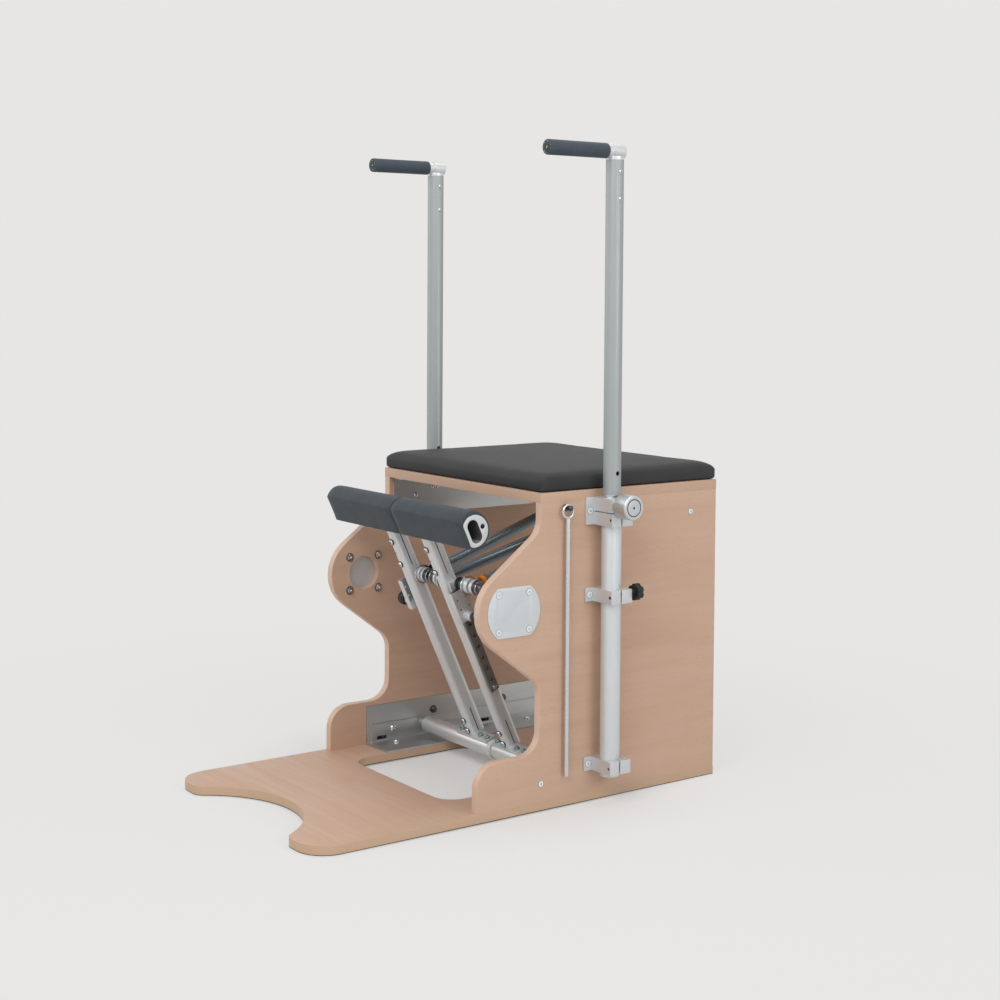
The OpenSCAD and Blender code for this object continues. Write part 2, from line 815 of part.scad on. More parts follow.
module pedal_arm(s) {
    slit_y = arm_mid - slit_w / 2;
    color("silver") on_side(s) on_pedal() difference() {
        translate([0, 0, arm_low]) linear_extrude(pad_up - arm_low) arm_oval(0);
        translate([0, 0, arm_low - 1]) linear_extrude(pad_up - arm_low + 2) arm_oval(arm_wall);
        translate([arm_x - arm_w, slit_y, slit_high]) cube([2 * arm_w, slit_w, pad_up]);
        translate([arm_x - arm_w, slit_y, 0]) cube([2 * arm_w, slit_w, slit_low]);
        translate([0, pad_back, pad_up]) bar_x(2 * pad_r + 2 * seat_gap, arm_x - arm_w, arm_x + arm_w);
        translate([0, pin_back, pin_up]) bar_x(pin_d + 2 * seat_gap, arm_x - arm_w, arm_x + arm_w);
    }
}

// Spigot inside the arm's top that carries the pad
module pad_post(s) {
    color("gray") on_side(s) on_pedal() difference() {
        translate([0, 0, post_low]) linear_extrude(pad_up - post_low) arm_oval(arm_wall + seat_gap);
        translate([0, pad_back, pad_up]) bar_x(2 * pad_r + 2 * seat_gap, arm_x - arm_w, arm_x + arm_w);
    }
}

// D-shaped section of the pad, grown by g, in [back, up] coordinates
module pad_section(g) {
    front = pad_flat - g;
    room = pad_r + pad_room;
    intersection() {
        translate([pad_back, pad_up]) circle(r = pad_r + g, $fn = 96);
        polygon(rounded([
            [front, pad_up - pad_lip_low, pad_lip_r + g], [front, pad_up + pad_lip_high, pad_brow_r + g],
            [front + pad_brow[0], pad_up + pad_r + pad_brow[1] + g, 0], [pad_back + room, pad_up + room, 0],
            [pad_back + room, pad_up - room, 0], [front + pad_chin, pad_up - room, 0]
        ]));
    }
}

module pad_core(s) {
    w = pad_hollow[0];
    l = pad_hollow[1];
    color("silver") on_side(s) on_pedal() difference() {
        slab_x(pad_gap, pad_gap + pad_w) difference() {
            pad_section(0);
            translate([pad_back, pad_up - 1]) {
                translate([0, (l - w) / 2]) circle(d = w);
                translate([0, (w - l) / 2]) circle(d = w);
                square([w, l - w], center = true);
            }
        }
        translate([0, rod_bore_back, rod_bore_up]) bar_x(rod_bore_d, 0, pad_gap + pad_w + 1);
    }
}

module pad_foam(s) {
    color("darkslategray") on_side(s) on_pedal() difference() {
        slab_x(pad_gap, pad_gap + pad_w) difference() {
            union() {
                pad_section(foam_t);
                translate([0, foam_top]) pad_section(foam_t);
            }
            pad_section(seat_gap);
        }
        translate([0, 0, pad_up - 2 * pad_r]) linear_extrude(2 * pad_r) arm_oval(-foam_clear);
    }
}

module rack(s) {
    face = arm_x + arm_w / 2;
    color("gray") on_side(s) on_pedal() difference() {
        translate([face, arm_mid - rack_w / 2, rack_low]) cube([rack_t, rack_w, rack_high - rack_low]);
        for (z = [rack_first : rack_pitch : rack_high - rack_hole_d])
            translate([0, arm_mid, z]) bar_x(rack_hole_d, face - 1, face + rack_t + 1);
        translate([0, pin_back, pin_up]) bar_x(pin_d + 2 * seat_gap, face - 1, face + rack_t + 1);
    }
}

// Channel that carries the pull knob, and the spring pin with its rollers
module carriage(s) {
    face = arm_x + arm_w / 2 + rack_t;
    color("gainsboro") on_side(s) on_pedal() {
        difference() {
            union() {
                translate([face, carriage_front, carriage_low])
                    cube([carriage_out - face, carriage_back - carriage_front, carriage_high - carriage_low]);
                translate([0, knob_back, knob_up]) bar_x(collar_d, carriage_out - 1, collar_out);
            }
            translate([face - 1, carriage_front + carriage_wall, carriage_low + carriage_cut_up])
                cube([carriage_out - face - 1, carriage_back - carriage_front - 2 * carriage_wall,
                    carriage_high - carriage_low]);
            for (y = [carriage_hole_back, pin_back], z = carriage_holes_up)
                translate([0, y, carriage_low + z]) bar_x(carriage_hole_d, face, carriage_out + 1);
            translate([0, knob_back, knob_up]) bar_x(plunger_d + 2 * run_gap, face - 1, collar_out + 1);
        }
        translate([0, pin_back, pin_up]) spring_pin(s);
    }
}

// One roller with its groove, its flange on the arm's side, and the black ring with its bright rim.
// The roller runs from x0 to x1 with the groove about the spring at x; dir is the way away from the arm
module spring_roller(x0, x1, x, dir) {
    g = eye_groove / 2;
    bar_x(roller_d, x0, x - g);
    bar_x(roller_d, x + g, x1);
    near = dir > 0 ? x0 : x1;
    far = dir > 0 ? x1 : x0;
    bar_x(flange_d, min(near, near - dir * hub_flange_t), max(near, near - dir * hub_flange_t));
    bar_x(stop_d, min(far, far + dir * stop_w), max(far, far + dir * stop_w));
    rim = far + dir * stop_w;
    bar_x(rim_d, min(rim, rim + dir * rim_t), max(rim, rim + dir * rim_t));
}

// Pin through the arm: an inner roller on both pedals, an outer one on the right pedal only
module spring_pin(s) {
    inner_far = inner_x - inner_roller / 2;
    inner_near = inner_x + inner_roller / 2;
    outer_near = outer_x - outer_roller / 2 - outer_shift;
    outer_far = outer_near + outer_roller;
    rack_out = arm_x + arm_w / 2 + rack_t;
    washer_out = carriage_out - washer_rest;
    pin_end = s > 0 ? outer_far + stop_w + rim_t + pin_rest : carriage_out - pin_rest;
    bar_x(pin_d, inner_far - stop_w - rim_t, pin_end);
    spring_roller(inner_far, inner_near, inner_x, -1);
    bar_x(hub_spacer_d, inner_near, arm_x - arm_w / 2);
    bar_x(rack_spacer_d, rack_out, washer_out);
    bar_x(washer_d, washer_out - washer_t, washer_out);
    if (s > 0) {
        bar_x(hub_spacer_d, carriage_out - pin_rest, outer_near);
        bar_x(washer_d, outer_near - outer_washer_back, outer_near - outer_washer_back + washer_t);
        spring_roller(outer_near, outer_far, outer_x, 1);
        bar_x(end_nut_d, outer_far + stop_w, outer_far + stop_w + rim_t + end_nut_w);
    }
}

module carriage_knob(s) {
    r = pull_knob_d / 2;
    depth = pull_knob_out - pull_knob_in;
    color("black") on_side(s) on_pedal() translate([0, knob_back, knob_up]) {
        bar_x(plunger_d, carriage_out - plunger_back, pull_knob_in + 1);
        translate([pull_knob_in, 0, 0]) rotate([0, 90, 0]) rotate_extrude() polygon(rounded([
            [0, 0, 0], [r - pull_knob_taper[0], 0, 2], [r, pull_knob_taper[1], 3], [r, depth, 3], [0, depth, 0]
        ]));
    }
}

// Springs: one unbroken tube with an eye round the pin, a coil and an eye round the bar

// Axis of a spring as [start, end] in the part's frame
function spring_ends(x0, x1) = [
    [x0, pin_at[0], pin_at[1]], [x1, anchor_at[0], anchor_at[1]]
];
function smooth(t) = t < 0 ? 0 : t > 1 ? 1 : t * t * (3 - 2 * t);

// Spring centre line in its own frame: Z along the spring, hooks in the YZ plane
function spring_line(l) =
    let (low = pin_hook_r - pin_d / 2 - wire_r - hook_touch)
    let (high = l - (anchor_hook_r - anchor_d / 2 - wire_r - hook_touch))
    let (from = shank, to = l - anchor_shank, n = curls * curl_rings)
    concat(
        [[0, pin_hook_r * cos(40) - wire_d * sin(40), low + pin_hook_r * sin(40) + wire_d * cos(40)]],
        [for (i = [0 : hook_rings])
            let (a = 40 - 220 * i / hook_rings)
            [0, pin_hook_r * cos(a), low + pin_hook_r * sin(a)]],
        [[0, -pin_hook_r, low + (from - low) * 0.5]],
        [for (i = [0 : n])
            let (t = i / n, a = 360 * curls * t + 180)
            let (r = pin_hook_r + (coil_r - pin_hook_r) * smooth(t * curls * 3))
            let (q = r + (anchor_hook_r - coil_r) * smooth((t - 1) * curls + 1))
            [q * sin(a), q * cos(a), from + (to - from) * t]],
        [[0, -anchor_hook_r, to + (high - to) * 0.6]],
        [for (i = [0 : hook_rings])
            let (a = 180 - 220 * i / hook_rings)
            [0, anchor_hook_r * cos(a), high + anchor_hook_r * sin(a)]],
        [[0, anchor_hook_r * cos(40) - wire_d * sin(40), high - anchor_hook_r * sin(40) - wire_d * cos(40)]]
    );

function tangent_at(p, i) = unit(p[min(i + 1, len(p) - 1)] - p[max(i - 1, 0)]);
function square_to(n, t) = unit(n - (n * t) * t);
// Frames carried along the line without twist
function carried(p) = [
    for (i = 0, n = square_to([1, 0, 0], tangent_at(p, 0)); i < len(p);
        i = i + 1, n = i < len(p) ? square_to(n, tangent_at(p, i)) : n) n
];

// Tube of wire_sides flats along the points p
module wire_tube(p) {
    m = wire_sides;
    normals = carried(p);
    points = [for (i = [0 : len(p) - 1], k = [0 : m - 1])
        let (t = tangent_at(p, i), b = cross(t, normals[i]), a = 360 * k / m)
        p[i] + wire_r * (cos(a) * normals[i] + sin(a) * b)];
    walls = [for (i = [0 : len(p) - 2], k = [0 : m - 1])
        each [
            [i * m + k, i * m + (k + 1) % m, (i + 1) * m + k],
            [i * m + (k + 1) % m, (i + 1) * m + (k + 1) % m, (i + 1) * m + k]
        ]];
    first = [[for (k = [m - 1 : -1 : 0]) k]];
    last = [[for (k = [0 : m - 1]) (len(p) - 1) * m + k]];
    polyhedron(points, concat(walls, first, last));
}

module spring(s, x0, x1) {
    ends = spring_ends(x0, x1);
    d = ends[1] - ends[0];
    l = norm(d);
    w = d / l;
    u = unit([1, 0, 0] - w[0] * w);
    v = cross(w, u);
    line = [for (q = spring_line(l)) ends[0] + q[0] * u + q[1] * v + q[2] * w];
    color("silver") on_side(s) wire_tube(line);
}

// Coloured ring on the pin end of a spring
module spring_ring(s, x0, x1) {
    ends = spring_ends(x0, x1);
    d = ends[1] - ends[0];
    pitch_up = atan2(d[2], d[1]);
    swing_out = atan2(d[0], norm([d[1], d[2]]));
    inner = coil_d + 2 * ring_clear;
    color("orangered") on_side(s) translate(ends[0]) rotate([pitch_up, 0, 0]) rotate([0, 0, -swing_out])
        difference() {
            bar_y(inner + 2 * ring_wall, ring_from, ring_from + ring_len);
            bar_y(inner, ring_from - 1, ring_from + ring_len + 1);
        }
}

base_board();
rubber_feet();
side_panel(-1);  // side_panel_left
side_panel(1);  // side_panel_right
seat_board();
seat_cushion();
upper_bracket(-1);  // upper_bracket_left
upper_bracket(1);  // upper_bracket_right
lower_bracket(-1);  // lower_bracket_left
lower_bracket(1);  // lower_bracket_right
pivot_axle();
cover_plate(-1);  // cover_plate_left
cover_plate(1);  // cover_plate_right
spring_anchor_bar();
lower_pole(-1);  // lower_pole_left
lower_pole(1);  // lower_pole_right
pole_bushing(-1);  // pole_bushing_left
pole_bushing(1);  // pole_bushing_right
top_bracket(-1);  // top_bracket_left
top_bracket(1);  // top_bracket_right
middle_bracket(-1);  // middle_bracket_left
middle_bracket(1);  // middle_bracket_right
foot_bracket(-1);  // foot_bracket_left
foot_bracket(1);  // foot_bracket_right
storage_stud();
connecting_rod();
upper_pole(-1);  // upper_pole_left
upper_pole(1);  // upper_pole_right
handle_fitting(-1);  // handle_fitting_left
handle_fitting(1);  // handle_fitting_right
handle_grip(-1);  // handle_grip_left
handle_grip(1);  // handle_grip_right
index_knob(-1);  // index_knob_left
index_knob(1);  // index_knob_right
star_knob(-1);  // star_knob_left
star_knob(1);  // star_knob_right
pedal_sleeve(-1);  // pedal_sleeve_left
pedal_sleeve(1);  // pedal_sleeve_right
arm_clamp(-1);  // arm_clamp_left
arm_clamp(1);  // arm_clamp_right
pedal_arm(-1);  // pedal_arm_left
pedal_arm(1);  // pedal_arm_right
pad_post(-1);  // pad_post_left
pad_post(1);  // pad_post_right
rack(-1);  // rack_left
rack(1);  // rack_right
carriage(-1);  // carriage_left
carriage(1);  // carriage_right
carriage_knob(-1);  // carriage_knob_left
carriage_knob(1);  // carriage_knob_right
pad_core(-1);  // pad_core_left
pad_core(1);  // pad_core_right
pad_foam(-1);  // pad_foam_left
pad_foam(1);  // pad_foam_right
spring(-1, inner_x, inner_anchor_x);  // spring_inner_left
spring(1, inner_x, inner_anchor_x);  // spring_inner_right
spring(1, outer_x, outer_x);  // spring_outer_right
spring_ring(-1, inner_x, inner_anchor_x);  // spring_ring_left
spring_ring(1, outer_x, outer_x);  // spring_ring_right
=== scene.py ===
"""Looks of the pilates chair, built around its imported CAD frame.

The rigid nodes keep their own solids, with softened edges and procedural materials.
The cushion, the foam sleeves, the grips and the springs are modelled here, and the
small fasteners are added. Lengths are in millimetres until a mesh is made.
"""
import json
import math

import bmesh
import bpy
from mathutils import Matrix, Vector

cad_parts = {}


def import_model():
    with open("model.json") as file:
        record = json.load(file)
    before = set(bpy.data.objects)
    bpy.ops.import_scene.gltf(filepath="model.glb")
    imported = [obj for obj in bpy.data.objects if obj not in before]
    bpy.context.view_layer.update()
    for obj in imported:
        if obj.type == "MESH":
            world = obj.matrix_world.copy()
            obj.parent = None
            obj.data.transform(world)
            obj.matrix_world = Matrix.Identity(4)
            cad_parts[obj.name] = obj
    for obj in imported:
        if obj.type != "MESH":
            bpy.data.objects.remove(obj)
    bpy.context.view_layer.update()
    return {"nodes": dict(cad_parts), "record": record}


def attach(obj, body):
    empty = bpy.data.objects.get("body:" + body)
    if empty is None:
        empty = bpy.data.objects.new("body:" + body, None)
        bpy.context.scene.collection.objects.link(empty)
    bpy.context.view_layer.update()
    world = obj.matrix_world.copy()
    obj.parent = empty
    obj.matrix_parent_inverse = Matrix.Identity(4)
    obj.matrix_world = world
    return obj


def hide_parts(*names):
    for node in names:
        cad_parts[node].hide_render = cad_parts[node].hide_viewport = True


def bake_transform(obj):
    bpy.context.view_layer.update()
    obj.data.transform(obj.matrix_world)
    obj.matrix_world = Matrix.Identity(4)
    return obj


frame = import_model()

MM = 0.001
SIDES = {"left": -1, "right": 1}

# Camera of the photograph, in millimetres and degrees
CAMERA_AT = (2904.8, -1967.9, 1020.8)
CAMERA_AZIMUTH = 54.195
CAMERA_PITCH = 2.66
CAMERA_ROLL = 0.358
CAMERA_SHIFT = -0.1318
FOCAL_PIXELS = 1706.3
IMAGE_PIXELS = 1000
SENSOR_MM = 36

# Places of the chair, in millimetres, as in the CAD source: boards and plates
HALF_W = 285
PLY_T = 18
FRONT_Y = 22
BACK_Y = 482
SEAT_TOP = 626
PANEL_TOP = 606
BOARD_TOP = 20
# Top of the dark band painted as shade along the base's lower edge
BASE_SHADE_LINE = 3.4
PLATE_T = 4
ANGLE_T = 5

# Pedals: the axle's place as (y, z), the arm, the pad, and the pin that the springs hook on
PIVOT = (111.5, 50)
ARM_LEAN = math.radians(24.6)
ARM_X = 65
ARM_W = 25
ARM_FRONT = -4.5
ARM_MID = 14.5
PAD_UP = 555
PAD_BACK = 9.2
PAD_R = 31.5
PAD_FLAT = -10.8
PAD_W = 250.7
FOAM_T = 4
PIN_UP = 407
PIN_BACK = 22
PIN_D = 8

# Springs and the bar at their far end
COIL_D = 24
WIRE_D = 3
INNER_X = 29
INNER_ANCHOR_X = 75
OUTER_X = 144
ANCHOR = (452, 575)
ANCHOR_D = 12

# Poles, axle, cover plates and pole brackets
POLE_X = 316.3
POLE_Y = 173.6
POLE_D = 35.5
BULGE = (-42, 401)
SPLIT_X = 14
SPACER_W = 12
AXLE_R = 12.5
SLEEVE_END = 244
COVER_SCREW = 36
COVER_T = 2
BLOCK_FRONT = 149
CLAMP_BOLT_X = 343
BRACKET_MIDS = {"foot": 78.5, "middle": 417.5, "top": 570.2}
FLANGE_MIDS = {"foot": 78.5, "middle": 417.5, "top": 584}
FLANGE_SCREW_Y = 140.7
INDEX_Z = 597
INDEX_PITCH = 63
INDEX_HOLE_R = 4.5
KNOB_FACE_X = 384.5
KNOB_GROOVE = (15.2, 18.0)
FOOT_BOLTS = (-33, 35, 59)
FOOT_TOP = 22
FOOT_BOLT_BACK = 3

# Foam grips of the handles
GRIP_D = 30
GRIP_BORE_R = 11.2
GRIP_FRONT = 5.6
GRIP_BACK = 151.6
GRIP_Z = 1291


# Node materials

# Places of the colour sockets among the Mix node's inputs and outputs
MIX_COLOUR_A, MIX_COLOUR_B, MIX_COLOUR_OUT = 6, 7, 2


class Shader:
    """A node material with short calls for the nodes that it needs."""

    def __init__(self, name):
        self.mat = bpy.data.materials.new(name)
        self.mat.use_nodes = True
        self.tree = self.mat.node_tree
        self.bsdf = self.tree.nodes["Principled BSDF"]
        coords = self.tree.nodes.new("ShaderNodeTexCoord")
        self.place = coords.outputs["Object"]
        self.normal = coords.outputs["Normal"]

    def put(self, socket, value):
        """Links the value to the socket, or sets it there if it is a number or colour."""
        if hasattr(value, "is_linked"):
            self.tree.links.new(value, socket)
        else:
            socket.default_value = value

    def set(self, **values):
        for key, value in values.items():
            self.put(self.bsdf.inputs[key.replace("_", " ")], value)
        return self

    def scaled(self, x, y, z):
        node = self.tree.nodes.new("ShaderNodeVectorMath")
        node.operation = "MULTIPLY"
        self.put(node.inputs[0], self.place)
        node.inputs[1].default_value = (x, y, z)
        return node.outputs[0]

    def noise(self, where, scale=1.0, detail=3.0, rough=0.5, warp=0.0):
        node = self.tree.nodes.new("ShaderNodeTexNoise")
        self.put(node.inputs["Vector"], where)
        node.inputs["Scale"].default_value = scale
        node.inputs["Detail"].default_value = detail
        node.inputs["Roughness"].default_value = rough
        node.inputs["Distortion"].default_value = warp
        return node.outputs["Fac"]

    def cells(self, where, scale):
        node = self.tree.nodes.new("ShaderNodeTexVoronoi")
        self.put(node.inputs["Vector"], where)
        node.inputs["Scale"].default_value = scale
        return node.outputs["Distance"]

    def math(self, kind, a, b=0.0):
        node = self.tree.nodes.new("ShaderNodeMath")
        node.operation = kind
        self.put(node.inputs[0], a)
        self.put(node.inputs[1], b)
        return node.outputs[0]

    def part(self, vector, axis):
        node = self.tree.nodes.new("ShaderNodeSeparateXYZ")
        self.put(node.inputs[0], vector)
        return node.outputs[axis]

    def ramp(self, value, low, high, out_low=0.0, out_high=1.0):
        """The value's stretch from low to high, mapped to the outer two and clamped."""
        node = self.tree.nodes.new("ShaderNodeMapRange")
        node.clamp = True
        self.put(node.inputs["Value"], value)
        node.inputs["From Min"].default_value = low
        node.inputs["From Max"].default_value = high
        node.inputs["To Min"].default_value = out_low
        node.inputs["To Max"].default_value = out_high
        return node.outputs["Result"]

    def mix(self, factor, a, b):
        node = self.tree.nodes.new("ShaderNodeMix")
        node.data_type = "RGBA"
        self.put(node.inputs["Factor"], factor)
        self.put(node.inputs[MIX_COLOUR_A], a)
        self.put(node.inputs[MIX_COLOUR_B], b)
        return node.outputs[MIX_COLOUR_OUT]

    def bump(self, height, strength, depth):
        node = self.tree.nodes.new("ShaderNodeBump")
        self.put(node.inputs["Height"], height)
        node.inputs["Strength"].default_value = strength
        node.inputs["Distance"].default_value = depth
        self.put(self.bsdf.inputs["Normal"], node.outputs[0])
        return self


def linear(r, g, b):
    """An sRGB colour of 0 to 255 as linear red, green, blue and alpha."""
    def one(c):
        c /= 255
        return c / 12.92 if c <= 0.04045 else ((c + 0.055) / 1.055) ** 2.4
    return (one(r), one(g), one(b), 1.0)


WOOD = linear(201, 167, 143)
WOOD_DARK = linear(187, 149, 124)
WOOD_FLECK = linear(164, 124, 99)
WOOD_PALE = linear(207, 176, 154)
PANEL_EDGE = linear(216, 186, 165)
BOARD_EDGE = linear(197, 167, 139)
EDGE_DARK = linear(186, 151, 121)

# Waves a metre of the wood's noises, and the height of a pair of glued layers in metres
STREAKS_ACROSS, STREAKS_ALONG = 34.0, 2.2
FLECKS_ACROSS, FLECKS_ALONG = 520.0, 70.0
PLY_LAYERS_M = 0.0026


def plywood(name, grain, layers, rim):
    """Lacquered beech ply: grain is the axis of its long streaks, and layers is the number
    of the axis that its glued layers are stacked along, which show as stripes on the edges."""
    sh = Shader(name)
    axes = "XYZ"
    stretch = [STREAKS_ACROSS] * 3
    stretch[axes.index(grain)] = STREAKS_ALONG
    fine = [FLECKS_ACROSS] * 3
    fine[axes.index(grain)] = FLECKS_ALONG
    figure = sh.noise(sh.scaled(*stretch), detail=5.0, rough=0.6, warp=0.9)
    flecks = sh.noise(sh.scaled(*fine), detail=1.0, rough=0.4)
    clouds = sh.noise(sh.place, scale=2.6, detail=2.0)
    face = sh.mix(sh.ramp(figure, 0.34, 0.72, 0.0, 0.60), WOOD, WOOD_DARK)
    face = sh.mix(sh.ramp(clouds, 0.35, 0.7, 0.0, 0.40), face, WOOD_PALE)
    face = sh.mix(sh.ramp(flecks, 0.60, 0.74, 0.0, 0.18), face, WOOD_FLECK)
    depth = sh.part(sh.place, layers)
    stripes = sh.math("SINE", sh.math("MULTIPLY", depth, 2 * math.pi / PLY_LAYERS_M))
    pores = sh.noise(sh.place, scale=300.0, detail=2.0)
    edge = sh.mix(sh.ramp(stripes, -0.5, 0.5, 0.0, 0.30), rim, EDGE_DARK)
    edge = sh.mix(sh.ramp(pores, 0.4, 0.7, 0.0, 0.22), edge, EDGE_DARK)
    facing = sh.math("ABSOLUTE", sh.part(sh.normal, layers))
    colour = sh.mix(sh.ramp(facing, 0.75, 0.95), edge, face)
    sh.set(Base_Color=colour, Roughness=sh.ramp(figure, 0.3, 0.8, 0.42, 0.56), Coat_Weight=0.12,
           Coat_Roughness=0.35)
    return sh.bump(sh.math("ADD", flecks, figure), 0.10, 0.0004).mat


def vinyl():
    """Matt upholstery vinyl: fine pores, creases finer than a millimetre, and broad clouds."""
    sh = Shader("charcoal_vinyl")
    pores = sh.cells(sh.place, 1500.0)
    folds = sh.noise(sh.place, scale=420.0, detail=3.0)
    broad = sh.noise(sh.place, scale=9.0, detail=2.0)
    colour = sh.mix(sh.ramp(broad, 0.3, 0.7), linear(45, 45, 47), linear(53, 53, 55))
    colour = sh.mix(sh.ramp(pores, 0.0, 0.35, 0.25, 0.0), colour, linear(30, 30, 32))
    sh.set(Base_Color=colour, Roughness=sh.ramp(folds, 0.3, 0.7, 0.50, 0.62),
           Specular_IOR_Level=0.28)
    return sh.bump(sh.math("ADD", pores, folds), 0.22, 0.0003).mat


def foam(name, dark, light, pit):
    """Closed foam rubber: speckled skin with darker pits and a slight sheen."""
    sh = Shader(name)
    speckle = sh.noise(sh.place, scale=900.0, detail=3.0, rough=0.7)
    broad = sh.noise(sh.place, scale=30.0, detail=2.0)
    colour = sh.mix(sh.ramp(broad, 0.3, 0.7), dark, light)
    colour = sh.mix(sh.ramp(speckle, 0.55, 0.75, 0.0, 0.35), colour, pit)
    sh.set(Base_Color=colour, Roughness=sh.ramp(speckle, 0.3, 0.7, 0.60, 0.75), Sheen_Weight=0.06,
           Specular_IOR_Level=0.35)
    return sh.bump(speckle, 0.25, 0.0004).mat


def metal(name, colour, rough, grain, spread=0.10, bump=0.05, metallic=1.0):
    """Metal with drawn or rolled grain, darker in fine lines and in broad soft patches.
    grain is the waves a metre along X, Y and Z."""
    sh = Shader(name)
    lines = sh.noise(sh.scaled(*grain), detail=2.0, rough=0.6)
    patches = sh.noise(sh.place, scale=14.0, detail=3.0)
    darker = tuple(c * 0.82 for c in colour[:3]) + (1.0,)
    shade = sh.mix(sh.ramp(lines, 0.3, 0.75, 0.0, 0.3), colour, darker)
    shade = sh.mix(sh.ramp(patches, 0.4, 0.8, 0.0, 0.15), shade, darker)
    finish = sh.ramp(lines, 0.3, 0.7, rough - spread / 2, rough + spread / 2)
    sh.set(Base_Color=shade, Metallic=metallic, Roughness=finish)
    return sh.bump(lines, bump, 0.0002).mat


def turned(name, colour, rough):
    """Lathe-turned metal: rings round the X axis."""
    sh = Shader(name)
    rings = sh.noise(sh.scaled(4200.0, 60.0, 60.0), detail=1.0)
    darker = tuple(c * 0.8 for c in colour[:3]) + (1.0,)
    shade = sh.mix(sh.ramp(rings, 0.3, 0.75, 0.0, 0.5), colour, darker)
    sh.set(Base_Color=shade, Metallic=1.0, Roughness=sh.ramp(rings, 0.3, 0.7, rough, rough + 0.1))
    return sh.bump(rings, 0.08, 0.0002).mat


def plastic(name, colour, rough):
    """Moulded plastic: fine texture, and paler where hands have worn it."""
    sh = Shader(name)
    texture = sh.noise(sh.place, scale=1400.0, detail=2.0)
    worn = sh.noise(sh.place, scale=60.0, detail=3.0)
    lighter = tuple(c * 1.6 + 0.01 for c in colour[:3]) + (1.0,)
    shade = sh.mix(sh.ramp(worn, 0.5, 0.8, 0.0, 0.35), colour, lighter)
    sh.set(Base_Color=shade, Roughness=sh.ramp(texture, 0.3, 0.7, rough - 0.06, rough + 0.08))
    return sh.bump(texture, 0.12, 0.0002).mat


MAT = {
    "panel": plywood("beech_panel", "Y", 0, PANEL_EDGE),
    "board": plywood("beech_board", "X", 2, BOARD_EDGE),
    "seat": plywood("beech_seat", "X", 2, WOOD),
    "vinyl": vinyl(),
    "pad_foam": foam("slate_pad_foam", linear(52, 60, 65), linear(60, 68, 73), linear(38, 45, 49)),
    "grip_foam": foam("slate_grip_foam", linear(58, 68, 76), linear(66, 76, 84),
                      linear(42, 51, 58)),
    "upper_pole": metal("satin_upper_pole", linear(166, 171, 171), 0.48, (900, 900, 30),
                        metallic=0.35),
    "lower_pole": metal("satin_lower_pole", linear(214, 218, 220), 0.45, (900, 900, 30),
                        metallic=0.45),
    "clamp": metal("satin_clamp", linear(212, 214, 216), 0.42, (260, 260, 900), metallic=0.6),
    "arm": metal("satin_arm", linear(221, 224, 226), 0.46, (900, 60, 60), metallic=0.55),
    "core": metal("extruded_core", linear(208, 210, 211), 0.42, (30, 700, 700), metallic=0.65),
    "cover": metal("brushed_cover", linear(214, 218, 221), 0.42, (40, 40, 1400), metallic=0.6),
    "zinc": metal("rolled_zinc", linear(186, 187, 186), 0.36, (60, 30, 500), 0.08, 0.03, 0.85),
    "chrome": metal("polished_steel", linear(205, 208, 212), 0.16, (60, 400, 400), 0.08, 0.02),
    "rod": metal("plated_rod", linear(214, 216, 219), 0.24, (60, 400, 400), 0.08, 0.02, 0.8),
    "spring": metal("spring_wire", linear(138, 149, 157), 0.11, (700, 700, 700), 0.06, 0.02),
    "green_zinc": metal("green_zinc", linear(150, 172, 170), 0.22, (300, 300, 300), 0.10, 0.03),
    # Flat screw heads: bright steel whose near-white colour also paints in their glint, a painted
    # highlight
    "screw": metal("screw_painted_highlight", linear(236, 240, 243), 0.34, (500, 500, 500), metallic=0.3),
    # Painted shade for the inside of the pad core's hollow
    "bore": metal("painted_shade_bore", linear(120, 122, 121), 0.40, (300, 300, 300), metallic=0.6),
    # The stud's ball: its dark base colour paints in the dark reflections of a polished ball, a
    # painted reflection
    "ball": metal("ball_painted_dark_reflection", linear(84, 84, 84), 0.10, (300, 300, 300), 0.04, 0.02),
    "nylon": plastic("nylon_spacer", linear(196, 197, 194), 0.45),
    "rack": metal("rack_steel", linear(132, 134, 134), 0.40, (400, 60, 60), metallic=0.8),
    "washer": metal("dark_washer", linear(96, 98, 97), 0.34, (500, 500, 500), metallic=0.9),
    "turned": turned("turned_knob", linear(208, 211, 213), 0.36),
    "knob": plastic("black_knob", linear(13, 13, 14), 0.48),
    "hub": plastic("black_hub", linear(14, 15, 16), 0.32),
    # Rubber of the feet; the same dark colour is also painted as shade on the base's underside and
    # along its lower edge
    "rubber": plastic("foot_rubber", linear(30, 30, 30), 0.7),
    "orange": plastic("orange_ring", linear(255, 150, 24), 0.30),
    # Painted shade: the dark colour given to holes, gaps, slits, grooves and recesses, and to parts
    # seen only through them
    "inside": plastic("painted_shade_dark", linear(34, 35, 36), 0.6),
}


# Mesh building

